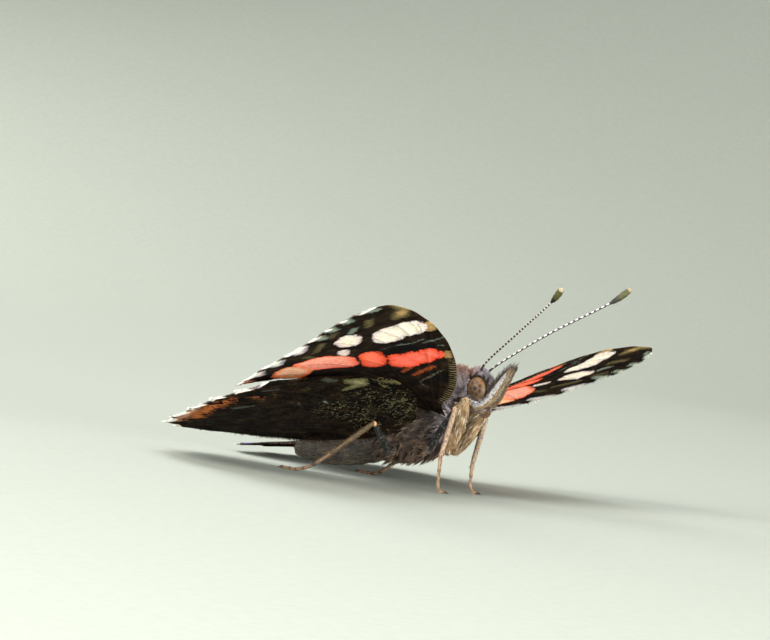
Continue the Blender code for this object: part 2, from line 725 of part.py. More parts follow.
def fuse_tufts(carrier, tufts):
    """Join the tufts to the object that carries them, leaving out those that come near another piece."""
    material = carrier.data.materials[0]
    others = [tree_of(thing) for thing in bpy.data.objects if thing is not carrier]
    bunch = bpy.data.collections.new("tufts")
    bpy.context.scene.collection.children.link(bunch)
    for path, across, width in tufts:
        tip_room = (path[3] - path[2]).normalized() * GAP * 1.5
        room = tuft_form([*path[:3], path[3] + tip_room], across, width + 2 * GAP, TUFT_THICKNESS + 3 * GAP)
        room_tree = BVHTree.FromBMesh(room)
        room.free()
        if not any(room_tree.overlap(other) for other in others):
            tuft = place("tuft", tuft_form(path, across, width, TUFT_THICKNESS))
            bunch.objects.link(tuft)
    join = carrier.modifiers.new("join", "BOOLEAN")
    join.operation = "UNION"
    join.solver = "EXACT"
    join.operand_type = "COLLECTION"
    join.collection = bunch
    joined = bpy.data.meshes.new_from_object(carrier.evaluated_get(bpy.context.evaluated_depsgraph_get()))
    carrier.modifiers.clear()
    carrier.data = joined
    for tuft in list(bunch.objects):
        bpy.data.objects.remove(tuft, do_unlink=True)
    bpy.data.collections.remove(bunch)
    keep_largest_surface(carrier.data)
    carrier.data.materials.clear()
    carrier.data.materials.append(material)


THORAX_TUFTS = 122
COLLAR_TUFTS = 42
HEAD_TUFTS = 46
THORAX_EGG = (THORAX_CENTRE, THORAX_HALF, THORAX_PITCH)
COLLAR_EGG = (COLLAR_CENTRE, COLLAR_HALF, COLLAR_PITCH)
HEAD_EGG = (HEAD_CENTRE, HEAD_HALF, HEAD_PITCH)
dice = random.Random(7)


def thorax_lie(outward):
    """Back along the body, turning down on the breast."""
    return Vector((-1, 0, -0.15 - 0.9 * max(0, -outward.z)))


def collar_lie(outward):
    """Up and back over the shoulders."""
    return Vector((-0.6, 0, 0.8))


def head_lie(outward):
    """Up and forward into the tuft between the feelers."""
    return Vector((0.25, 0, 1))


all_round = spread_directions(THORAX_TUFTS, dice)
fuse_tufts(thorax, egg_tufts(THORAX_EGG, all_round, thorax_lie, length=2.1, width=1.15, rise=0.4, hang=0.25))
all_round = spread_directions(COLLAR_TUFTS, dice)
fuse_tufts(collar, egg_tufts(COLLAR_EGG, all_round, collar_lie, length=1.3, width=0.85, rise=0.35))
crown = [way for way in spread_directions(HEAD_TUFTS, dice) if way.z > 0.1 and abs(way.y) < 0.75]
fuse_tufts(head, egg_tufts(HEAD_EGG, crown, head_lie, length=0.95, width=0.6, rise=0.3))

BRUSH_TUFT_ROWS = 4
BRUSH_TUFT_LENGTH = 1.9
BRUSH_TUFT_WIDTH = 0.62


def brush_tufts(side):
    """Long tufts down both edges of a brush leg, fanning out a little from its middle line."""
    stations = [Vector((x, side * y, z)) for x, y, z, *_ in FORELEG_BRUSHES[side]["brush"]]
    depths = [Vector((station[4], 0)) for station in FORELEG_BRUSHES[side]["brush"]]
    line = smooth_curve(stations, BRUSH_TUFT_ROWS)
    depth = smooth_curve(depths, BRUSH_TUFT_ROWS)
    tufts = []
    for i in range(3, len(line) - 2, 2):
        down = (line[i + 1] - line[i - 1]).normalized()
        fore = Vector((0, -side, 0)).cross(down).normalized()
        for edge in (-1, 1):
            root = line[i] + fore * edge * depth[i].x * 0.35
            path = [root]
            for along in (0.4, 0.75, 1.0):
                spread = edge * depth[i].x * (0.45 + 0.35 * along) * (1 if along < 1 else 0.9)
                path.append(line[i] + down * BRUSH_TUFT_LENGTH * along + fore * spread)
            tufts.append((path, fore, BRUSH_TUFT_WIDTH))
    return tufts


for side in (RIGHT, LEFT):
    fuse_tufts(bpy.data.objects[f"foreleg_brush_{SIDE_NAMES[side]}"], brush_tufts(side))


# Stand the model on the floor, with the origin under the middle of its box, in metres

def box_of(things):
    corners = [v.co for thing in things for v in thing.data.vertices]
    low = Vector([min(c[i] for c in corners) for i in range(3)])
    high = Vector([max(c[i] for c in corners) for i in range(3)])
    return low, high


pieces = list(bpy.data.objects)
low, high = box_of(pieces)
under_middle = Vector(((low.x + high.x) / 2, (low.y + high.y) / 2, FLOOR_Z))
for piece in pieces:
    piece.data.transform(Matrix.Scale(MM, 4) @ Matrix.Translation(-under_middle))
    piece.data.shade_smooth()
    piece.data.set_sharp_from_angle(angle=math.radians(50))
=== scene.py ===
import math

import bmesh
import bpy
import numpy as np
from mathutils import Matrix, Vector, kdtree
from mathutils.bvhtree import BVHTree
from mathutils.geometry import delaunay_2d_cdt


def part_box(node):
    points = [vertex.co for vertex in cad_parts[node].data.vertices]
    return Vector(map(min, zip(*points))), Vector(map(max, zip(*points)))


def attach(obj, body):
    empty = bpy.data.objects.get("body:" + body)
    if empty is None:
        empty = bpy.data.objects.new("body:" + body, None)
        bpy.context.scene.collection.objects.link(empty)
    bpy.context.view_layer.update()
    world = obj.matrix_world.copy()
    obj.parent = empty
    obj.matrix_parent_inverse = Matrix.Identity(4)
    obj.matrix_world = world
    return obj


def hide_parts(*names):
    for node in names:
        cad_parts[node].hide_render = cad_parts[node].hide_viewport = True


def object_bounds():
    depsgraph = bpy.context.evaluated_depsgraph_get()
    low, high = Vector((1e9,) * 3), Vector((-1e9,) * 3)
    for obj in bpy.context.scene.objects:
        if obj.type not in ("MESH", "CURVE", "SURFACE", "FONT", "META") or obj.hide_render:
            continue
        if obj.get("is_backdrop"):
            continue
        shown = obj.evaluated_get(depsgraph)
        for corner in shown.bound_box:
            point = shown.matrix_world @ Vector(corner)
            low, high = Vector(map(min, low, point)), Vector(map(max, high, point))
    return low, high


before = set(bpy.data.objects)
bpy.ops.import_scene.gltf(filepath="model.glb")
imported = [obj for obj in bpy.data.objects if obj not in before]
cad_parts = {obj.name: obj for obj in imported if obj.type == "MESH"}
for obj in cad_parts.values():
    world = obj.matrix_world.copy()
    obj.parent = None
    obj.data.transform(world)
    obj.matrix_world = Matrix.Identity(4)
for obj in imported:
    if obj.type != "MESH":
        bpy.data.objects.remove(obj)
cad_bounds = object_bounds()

# Where the butterfly stands. Every size below is in millimetres, measured from the point midway between
# the two forewing hinges, with +X to the head, +Y to the left wings and +Z up. The frame's eyes tell where
# that point is on the stand's floor.
MM = 0.001
RIGHT, LEFT = -1, 1
HANDS = {RIGHT: "right", LEFT: "left"}
EYE_MIDDLE = Vector((3.66, 0, 2.63))
eye_corners = [*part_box("eye_right"), *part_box("eye_left")]
hinge_middle = sum(eye_corners, Vector()) / 4 - EYE_MIDDLE * MM
to_model = Matrix.Translation(hinge_middle) @ Matrix.Scale(MM, 4)
FLOOR_Z = -hinge_middle.z / MM
dice = np.random.default_rng(1874)


# Camera: a long lens a third of a metre away, a little above the feet and rolled so that the floor falls
# to the right. It looks across the right side towards the head.
CAMERA_TURN = 24.32
CAMERA_RISE = 1.10
CAMERA_ROLL = 8.56
CAMERA_DISTANCE = 350.0
AIM_RIGHT = 5.44
AIM_UP = -8.62
PIXELS_PER_MM = 10.54
PHOTO_WIDTH = 770
SENSOR_WIDTH = 36

turn, rise, roll = (math.radians(angle) for angle in (CAMERA_TURN, CAMERA_RISE, CAMERA_ROLL))
ahead = Vector((-math.sin(turn) * math.cos(rise), math.cos(turn) * math.cos(rise), -math.sin(rise)))
level = Vector((math.cos(turn), math.sin(turn), 0))
upright = level.cross(ahead)
view_right = level * math.cos(roll) + upright * math.sin(roll)
view_up = upright * math.cos(roll) - level * math.sin(roll)
stand_point = -ahead * CAMERA_DISTANCE - view_right * AIM_RIGHT - view_up * AIM_UP

camera = bpy.data.objects.new("camera", bpy.data.cameras.new("camera"))
bpy.context.scene.collection.objects.link(camera)
camera.matrix_world = Matrix.Translation(to_model @ stand_point) @ Matrix(
    (view_right, view_up, -ahead)
).transposed().to_4x4()
camera.data.sensor_width = SENSOR_WIDTH
camera.data.lens = PIXELS_PER_MM * CAMERA_DISTANCE * SENSOR_WIDTH / PHOTO_WIDTH
camera.data.clip_start = 0.02
camera.data.clip_end = 20
bpy.context.scene.camera = camera


# Studio: a shallow bowl of pale matt card, flat under the butterfly and curving up all round, lit by
# six soft lamps and a pale sky. The card has a faint fibre so that its shadows don't look painted.
BOWL_FLAT = 0.42
BOWL_CURVE = 0.40
BOWL_HEIGHT = 0.9
BOWL_SIDES = 96
BOWL_STEPS = 12
FIBRES_PER_METRE = 900
SKY_COLOUR = (0.80, 0.84, 0.86, 1)
SKY_STRENGTH = 0.75
# Each lamp's place and width in metres, its power in watts and its tint
LAMPS = {
    "key_lamp": ((-0.15, -0.42, 0.34), 0.30, 2.6, (1.0, 0.98, 0.95)),
    "low_lamp": ((-0.07, -0.36, 0.03), 0.22, 3.0, (1.0, 0.99, 0.97)),
    "front_lamp": ((0.42, -0.17, 0.045), 0.09, 2.9, (1.0, 0.98, 0.95)),
    "fill_lamp": ((0.46, -0.22, 0.24), 0.36, 0.8, (0.94, 0.97, 1.0)),
    "top_lamp": ((-0.05, 0.10, 0.60), 0.50, 2.5, (1.0, 1.0, 1.0)),
    "back_lamp": ((-0.40, 0.36, 0.30), 0.36, 1.9, (1.0, 0.98, 0.95)),
}


def paint(red, green, blue):
    """A screen colour of 0 to 255 as Blender's linear values."""
    parts = [c / 255 for c in (red, green, blue)]
    return tuple(c / 12.92 if c <= 0.04045 else ((c + 0.055) / 1.055) ** 2.4 for c in parts)


def new_material(name, roughness, specular=0.3):
    """A material and its Principled shader."""
    material = bpy.data.materials.new(name)
    material.use_nodes = True
    shader = material.node_tree.nodes["Principled BSDF"]
    shader.inputs["Roughness"].default_value = roughness
    shader.inputs["Specular IOR Level"].default_value = specular
    return material, shader


def add_node(tree, kind, inputs=None, **settings):
    """A new node with its settings; each input is a socket to link or a value to set."""
    node = tree.nodes.new(kind)
    for name, value in settings.items():
        setattr(node, name, value)
    for name, value in (inputs or {}).items():
        if isinstance(value, bpy.types.NodeSocket):
            tree.links.new(value, node.inputs[name])
        else:
            node.inputs[name].default_value = value
    return node


def mix_colours(tree, share, low, high):
    """A colour between low and high, each of them a socket or a screen colour of 0 to 255."""
    low, high = (end if isinstance(end, bpy.types.NodeSocket) else (*paint(*end), 1) for end in (low, high))
    return add_node(tree, "ShaderNodeMix", {0: share, 6: low, 7: high}, data_type="RGBA").outputs[2]


def math_node(tree, operation, *values):
    return add_node(tree, "ShaderNodeMath", dict(enumerate(values)), operation=operation).outputs[0]


def noise_at(tree, place, scale, detail, **inputs):
    """Soft random clouds, from 0 to 1."""
    inputs = {"Vector": place, "Scale": scale, "Detail": detail, **inputs}
    return add_node(tree, "ShaderNodeTexNoise", inputs).outputs[0]


def attribute(tree, name, output="Fac"):
    """What a mesh keeps at each point under this name."""
    return add_node(tree, "ShaderNodeAttribute", attribute_name=name).outputs[output]


def ramp(tree, value, low, high, start=0.0, end=1.0):
    """From start to end as the value goes from low to high; low may be the greater one."""
    limits = {"Value": value, "From Min": low, "From Max": high, "To Min": start, "To Max": end}
    return add_node(tree, "ShaderNodeMapRange", limits, interpolation_type="SMOOTHSTEP").outputs[0]


def use_group(tree, group, **values):
    """A shared effect in a material, its inputs linked or set."""
    inputs = {name.replace("_", " "): value for name, value in values.items()}
    return add_node(tree, "ShaderNodeGroup", inputs, node_tree=group).outputs


def new_group(name, inputs, outputs):
    """An empty node group with its sockets, each named with its kind."""
    group = bpy.data.node_groups.new(name, "ShaderNodeTree")
    for way, sockets in (("INPUT", inputs), ("OUTPUT", outputs)):
        for socket, kind in sockets.items():
            group.interface.new_socket(socket, in_out=way, socket_type=f"NodeSocket{kind}")
    return group, group.nodes.new("NodeGroupInput").outputs, group.nodes.new("NodeGroupOutput").inputs


def set_bump(tree, shader, height, distance_mm, strength=1.0):
    """Make a height show as relief."""
    inputs = {"Height": height, "Distance": distance_mm * MM, "Strength": strength}
    bump = add_node(tree, "ShaderNodeBump", inputs)
    tree.links.new(bump.outputs[0], shader.inputs["Normal"])


card, card_shader = new_material("studio_card", roughness=0.9, specular=0.1)
tree = card.node_tree
fibre = noise_at(tree, add_node(tree, "ShaderNodeTexCoord").outputs["Object"], FIBRES_PER_METRE, 4)
tree.links.new(mix_colours(tree, fibre, (152, 157, 147), (162, 166, 157)), card_shader.inputs["Base Color"])
set_bump(tree, card_shader, fibre, 0.05)

bowl_line = [(0.0, 0.0), (BOWL_FLAT, 0.0)]
for step in range(1, BOWL_STEPS + 1):
    angle = math.radians(90) * step / BOWL_STEPS
    bowl_line.append((BOWL_FLAT + BOWL_CURVE * math.sin(angle), BOWL_CURVE * (1 - math.cos(angle))))
bowl_line.append((BOWL_FLAT + BOWL_CURVE, BOWL_HEIGHT))
bm = bmesh.new()
rim = [bm.verts.new((radius, 0, height)) for radius, height in bowl_line]
edges = [bm.edges.new(pair) for pair in zip(rim, rim[1:])]
bmesh.ops.spin(
    bm, geom=rim + edges, cent=(0, 0, 0), axis=(0, 0, 1), angle=math.tau, steps=BOWL_SIDES, use_merge=True,
)
bmesh.ops.remove_doubles(bm, verts=bm.verts, dist=1e-5)
bmesh.ops.recalc_face_normals(bm, faces=bm.faces)
floor_mesh = bpy.data.meshes.new("studio_floor")
bm.to_mesh(floor_mesh)
bm.free()
floor_mesh.materials.append(card)
floor_mesh.shade_smooth()
floor = bpy.data.objects.new("studio_floor", floor_mesh)
bpy.context.scene.collection.objects.link(floor)
floor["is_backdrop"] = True

for name, (spot, size, power, tint) in LAMPS.items():
    lamp = bpy.data.objects.new(name, bpy.data.lights.new(name, "AREA"))
    lamp.data.shape = "DISK"
    lamp.data.size = size
    lamp.data.energy = power
    lamp.data.color = tint
    lamp.location = spot
    lamp.rotation_euler = (Vector((0, 0, 0.01)) - Vector(spot)).to_track_quat("-Z", "Y").to_euler()
    bpy.context.scene.collection.objects.link(lamp)

sky = bpy.data.worlds.new("pale_sky")
sky.use_nodes = True
sky.node_tree.nodes["Background"].inputs["Color"].default_value = SKY_COLOUR
sky.node_tree.nodes["Background"].inputs["Strength"].default_value = SKY_STRENGTH
bpy.context.scene.world = sky
bpy.context.scene.view_settings.view_transform = "Standard"


# Wings: two layers of membrane stiffened by hollow veins that stand proud of both faces, covered with rows
# of overlapping scales. Each is laid out flat from its outline and veins, then bent to its camber and
# turned to its pose about the hinge. Flat places are (outward, forward) from the hinge.
WING_HALF_THICKNESS = 0.055
WING_EDGE_HALF_THICKNESS = 0.03
VEIN_RISE = 0.07
VEIN_SPREAD = 0.13
WING_STEP = 0.34
WING_POINT_CLEARANCE = 0.2
VEIN_POINT_CLEARANCE = 0.104
WING_RIPPLE = 0.05
FRINGE_INSET = 0.42
ROOT_INSET = 1.3
WING_SCALES_PER_MM = 9.0
SHEEN_TINT = (0.90, 0.86, 0.84, 1)
MAP_EDGE = 0.02

FOREWING = {
    "costa": [(-ROOT_INSET, 0.5), (0.4, 1.7), (1.6, 4.3), (3.2, 6.6), (6, 9.4), (9, 11.7), (12, 13.6),
              (15, 15.3), (18, 16.8), (20.5, 17.7)],
    "margin": [(22.4, 17.6), (23.3, 16.4), (23.7, 14.9), (23.7, 13.1), (23.2, 10.8), (22.9, 7.2),
               (22.4, 3.7), (21.2, 0.2), (20.3, -2.1)],
    "inner": [(15, -2.5), (10, -2.4), (5, -2.0), (1.6, -1.35), (0.1, -0.8), (-ROOT_INSET, -0.35)],
    "scallop": 0.25,
    "axis": (23, 10.5),
    "fold": (0, 0, -1),
    "veins": [
        [(0.3, 1.0), (3.6, 4.9), (7.2, 8.7), (9.8, 11.0), (12.0, 12.7)],
        [(0.3, 0.6), (3.8, 3.9), (7.6, 7.6), (9.8, 9.6)],
        [(7.6, 7.6), (11.4, 11.4), (14.8, 14.3)],
        [(9.8, 9.6), (14.2, 13.4), (17.8, 15.8)],
        [(9.8, 9.6), (15.2, 12.9), (18.4, 15.2), (20.2, 16.6)],
        [(15.2, 12.9), (19.4, 14.8), (22.4, 15.9)],
        [(19.4, 14.8), (21.5, 16.7)],
        [(9.8, 9.6), (17.0, 12.2), (22.8, 14.5)],
        [(9.8, 9.6), (10.6, 8.1), (11.2, 6.3)],
        [(10.6, 8.1), (17.0, 10.8), (22.8, 12.9)],
        [(11.2, 6.3), (17.0, 8.9), (22.3, 10.6)],
        [(0.2, -0.1), (4.6, 1.9), (8.0, 3.7), (11.2, 6.3)],
        [(8.0, 3.7), (15.5, 5.9), (22.0, 7.1)],
        [(4.6, 1.9), (12.0, 3.0), (21.5, 3.6)],
        [(0.2, -0.6), (10.0, -0.4), (20.1, 0.1)],
    ],
}
HINDWING = {
    "costa": [(-ROOT_INSET, 0.35), (1.4, 1.4), (5.4, 3.4), (10.4, 3.5), (15.2, 1.1), (19.3, -1.9)],
    "margin": [(21.5, -3.8), (22.3, -6.2), (22.2, -9.0), (20.9, -12.2), (17.9, -15.9), (13.8, -19.1),
               (8.2, -21.0), (6.1, -20.4)],
    "inner": [(4.2, -17.5), (3.1, -13), (1.9, -8), (0.6, -3.5), (-0.2, -1.6), (-ROOT_INSET, -0.6)],
    "scallop": 0.55,
    "axis": (20, -10),
    "fold": (4.6, 0.14, -9),
    "veins": [
        [(0.2, 0.3), (2.2, 0.9), (6.0, 2.1), (11.0, 1.8), (15.5, -0.5), (20.2, -2.9)],
        [(0.2, -0.2), (3.5, -0.8), (8.5, -1.2), (14.5, -2.6), (21.2, -4.9)],
        [(3.5, -0.8), (7.6, -2.6), (14.0, -4.6), (21.4, -7.4)],
        [(7.6, -2.6), (7.9, -4.1), (6.2, -6.0)],
        [(7.9, -4.1), (14.0, -6.8), (20.9, -10.0)],
        [(0.1, -0.5), (4.0, -3.8), (6.2, -6.0)],
        [(6.2, -6.0), (12.5, -9.5), (19.4, -13.0)],
        [(6.2, -6.0), (11.4, -11.0), (16.8, -16.0)],
        [(4.0, -3.8), (8.6, -11.0), (12.6, -18.8)],
        [(0.0, -0.8), (4.3, -9.0), (7.9, -20.0)],
    ],
}
# Sweep, lift and nose-up tilt in degrees, the hinge, and the camber across, along and in twist
WING_POSES = {
    "forewing_right": (FOREWING, RIGHT, (-28.7, 28.3, 1.7), (0.0, 2.3, 0.05), (0.19, 1.25, -2.5)),
    "forewing_left": (FOREWING, LEFT, (-12.5, 16.4, 24.2), (0.0, 2.3, 0.05), (-0.31, 0.81, -1.0)),
    "hindwing_right": (HINDWING, RIGHT, (-1.1, 15.4, 23.8), (-2.12, 2.36, -1.48), (-1.16, 0.24, 0.51)),
    "hindwing_left": (HINDWING, LEFT, (-15.4, -2.8, 19.3), (-2.12, 2.36, -1.38), (0.08, -0.17, 0.70)),
}


def smooth_curve(points, spans):
    """Points along a Catmull-Rom curve through the given ones, spans pieces between each two."""
    knots = np.array(points, float)
    knots = np.vstack([knots[0] * 2 - knots[1], knots, knots[-1] * 2 - knots[-2]])
    curve = []
    for a, b, c, d in zip(knots, knots[1:], knots[2:], knots[3:]):
        for t in np.arange(spans) / spans:
            bend = (a * 2 - b * 5 + c * 4 - d) * t * t + (b * 3 - a - c * 3 + d) * t ** 3
            curve.append((b * 2 + (c - a) * t + bend) / 2)
    curve.append(knots[-2])
    return np.array(curve)


def split_line(points, step):
    """The same line with points no further apart than step."""
    line = [points[0]]
    for start, end in zip(points, points[1:]):
        pieces = max(1, math.ceil(np.linalg.norm(end - start) / step))
        line += [start + (end - start) * (i + 1) / pieces for i in range(pieces)]
    return np.array(line)


def depth_in_marks(points, marks):
    """How deep each point lies in the nearest mark, a chain of (outward, forward, half width)."""
    depth = np.full(len(points), -np.inf)
    for mark in marks:
        spots = np.array(mark if len(mark) > 1 else [*mark, mark[0]], float)
        for start, end in zip(spots[:-1], spots[1:]):
            run = end[:2] - start[:2]
            along = np.clip((points - start[:2]) @ run / max(run @ run, 1e-9), 0, 1)
            middle = start[:2] + along[:, None] * run
            width = start[2] + along * (end[2] - start[2])
            depth = np.maximum(depth, width - np.linalg.norm(points - middle, axis=1))
    return depth


def distance_to_lines(points, lines):
    """How far each flat point lies from the nearest of the lines."""
    return -depth_in_marks(points, [np.column_stack([line, np.zeros(len(line))]) for line in lines])


def wing_edges(form):
    """Front edge, scalloped margin and inner edge as fine lines, the last two drawn in by the fringe."""
    margin = []
    for start, end in zip(form["margin"], form["margin"][1:]):
        start, end = np.array(start), np.array(end)
        long = np.linalg.norm(end - start)
        inward = np.array((end[1] - start[1], start[0] - end[0])) / long
        notch = form["scallop"] * min(1, long / 2.5)
        for t in np.arange(9) / 9:
            margin.append(start + (end - start) * t + inward * notch * math.sin(math.pi * t))
    margin.append(np.array(form["margin"][-1]))
    edges = [np.array(margin), smooth_curve([form["margin"][-1], *form["inner"]], 6)]
    for edge, inset in zip(edges, (FRINGE_INSET, FRINGE_INSET * 0.6)):
        ahead = np.gradient(edge, axis=0)
        ahead /= np.linalg.norm(ahead, axis=1)[:, None]
        room = inset * np.clip(np.linalg.norm(edge, axis=1) / 4 - 0.3, 0, 1)
        edge += np.stack([ahead[:, 1], -ahead[:, 0]], 1) * room[:, None]
    margin, inner = edges
    inner[0] = margin[-1]
    costa = smooth_curve([*form["costa"], margin[0]], 6)
    return costa, margin, inner


def run_along(points, line):
    """How far along the line its point nearest to each of these points is."""
    nearest = np.linalg.norm(points[:, None] - line[None], axis=2).argmin(1)
    lengths = np.append(0, np.cumsum(np.linalg.norm(np.diff(line, axis=0), axis=1)))
    return lengths[nearest]


def near_tree(points):
    """A way to find the point nearest to a place."""
    tree = kdtree.KDTree(len(points))
    for i, point in enumerate(points):
        tree.insert(point, i)
    tree.balance()
    return tree


def wing_plan(form):
    """The wing's flat points and triangles, and at each point what its shape and markings need."""
    costa, margin, inner = wing_edges(form)
    outline = np.vstack([costa[:-1], margin[:-1], inner])
    outline = split_line(np.vstack([outline, outline[:1]]), WING_STEP)[:-1]
    veins = [split_line(smooth_curve(vein, 4), WING_STEP) for vein in form["veins"]]
    points = [tuple(p) for p in outline]
    links = [(i, (i + 1) % len(points)) for i in range(len(points))]
    for vein in veins:
        links += [(len(points) + i, len(points) + i + 1) for i in range(len(vein) - 1)]
        points += [tuple(p) for p in vein]
    low, high = outline.min(0), outline.max(0)
    beside = []
    for vein in veins:
        run = np.gradient(vein, axis=0)
        across = np.stack([-run[:, 1], run[:, 0]], 1) / np.linalg.norm(run, axis=1)[:, None]
        beside += [vein + across * away * VEIN_SPREAD for away in (-2.2, -1, 1, 2.2)]
    columns = np.arange(low[0], high[0], WING_STEP)
    rows = np.arange(low[1], high[1], WING_STEP * 0.866)
    lattice = [(x + WING_STEP / 2 * (i % 2), y) for i, y in enumerate(rows) for x in columns]
    for spots, room in ((np.vstack(beside), VEIN_POINT_CLEARANCE), (lattice, WING_POINT_CLEARANCE)):
        taken = near_tree([(*point, 0) for point in points])
        points += [tuple(spot) for spot in spots if taken.find((*spot, 0))[2] > room]
    flat, _, faces, *_ = delaunay_2d_cdt(
        [Vector(p) for p in points], links, [list(range(len(outline)))], 1, 1e-5,
    )
    used, faces = np.unique(np.array(faces), return_inverse=True)
    flat = np.array([tuple(p) for p in flat])[used]
    return {
        "flat": flat,
        "faces": faces.reshape(-1, 3),
        "from_vein": distance_to_lines(flat, veins),
        "from_costa": distance_to_lines(flat, [costa]),
        "from_margin": distance_to_lines(flat, [margin]),
        "from_edge": distance_to_lines(flat, [costa, margin, inner]),
        "from_vein_end": np.linalg.norm(flat[:, None] - [vein[-1] for vein in form["veins"]], axis=2).min(1),
        "costa_run": run_along(flat, split_line(costa, 0.05)),
        "margin": margin,
        "inner": inner,
    }


def wing_place(name, flat, lift=0.0):
    """Where flat points of a wing are on the butterfly, lifted along the wing's own up."""
    form, side, angles, hinge, curve = WING_POSES[name]
    axis = np.array(form["axis"]) / np.linalg.norm(form["axis"])
    along = flat @ axis
    across = flat @ np.array((-axis[1], axis[0]))
    fold_line, fold, full_at = form["fold"]
    behind = np.clip(flat[:, 1] / full_at, 0, 1)
    height = -(curve[0] * across ** 2 + curve[1] * along ** 2 + curve[2] * along * across) / 100
    height -= fold * behind * np.maximum(0, fold_line - flat[:, 0]) ** 2
    height += WING_RIPPLE * np.sin(flat[:, 0] * 1.1) * np.sin(flat[:, 1] * 0.9 + 1) + lift
    sweep, raised, tilt = (math.radians(angle) for angle in angles)
    turn = Matrix.Rotation(-tilt, 3, "Y") @ Matrix.Rotation(raised, 3, "X") @ Matrix.Rotation(-sweep, 3, "Z")
    places = np.stack([flat[:, 1], flat[:, 0], height], 1) @ np.array(turn).T + hinge
    places[:, 1] *= side
    return places


def new_piece(name, places, faces, materials, smooth=True):
    """A mesh object from points in millimetres, stood on the floor in metres."""
    mesh = bpy.data.meshes.new(name)
    faces = np.asarray(faces)
    mesh.vertices.add(len(places))
    matrix = np.array(to_model)
    mesh.vertices.foreach_set("co", (places @ matrix[:3, :3].T + matrix[:3, 3]).astype(np.float32).ravel())
    mesh.loops.add(faces.size)
    mesh.loops.foreach_set("vertex_index", faces.astype(np.int32).ravel())
    mesh.polygons.add(len(faces))
    mesh.polygons.foreach_set("loop_start", np.arange(len(faces), dtype=np.int32) * faces.shape[1])
    mesh.update(calc_edges=True)
    for material in materials:
        mesh.materials.append(material)
    if smooth:
        mesh.shade_smooth()
    piece = bpy.data.objects.new(name, mesh)
    bpy.context.scene.collection.objects.link(piece)
    return piece


def store(piece, name, values):
    """Keep a number, or three, for each point of a mesh, for its material to read."""
    values = np.asarray(values, np.float32)
    kind, key = ("FLOAT", "value") if values.ndim == 1 else ("FLOAT_VECTOR", "vector")
    piece.data.attributes.new(name, kind, "POINT").data.foreach_set(key, values.ravel())


def inside_edge(spots):
    """Places on the unwrapped square, drawn in to leave a narrow edge."""
    return MAP_EDGE + spots * (1 - 2 * MAP_EDGE)


def store_map(piece, spots):
    """The map that textures are baked through: a place on the unwrapped skin for each point or corner."""
    spots = np.asarray(spots, np.float32)
    if len(spots) == len(piece.data.vertices):
        loops = np.zeros(len(piece.data.loops), np.int32)
        piece.data.loops.foreach_get("vertex_index", loops)
        spots = spots[loops]
    piece.data.uv_layers.new(name="OFBake").uv.foreach_set("vector", spots.ravel())


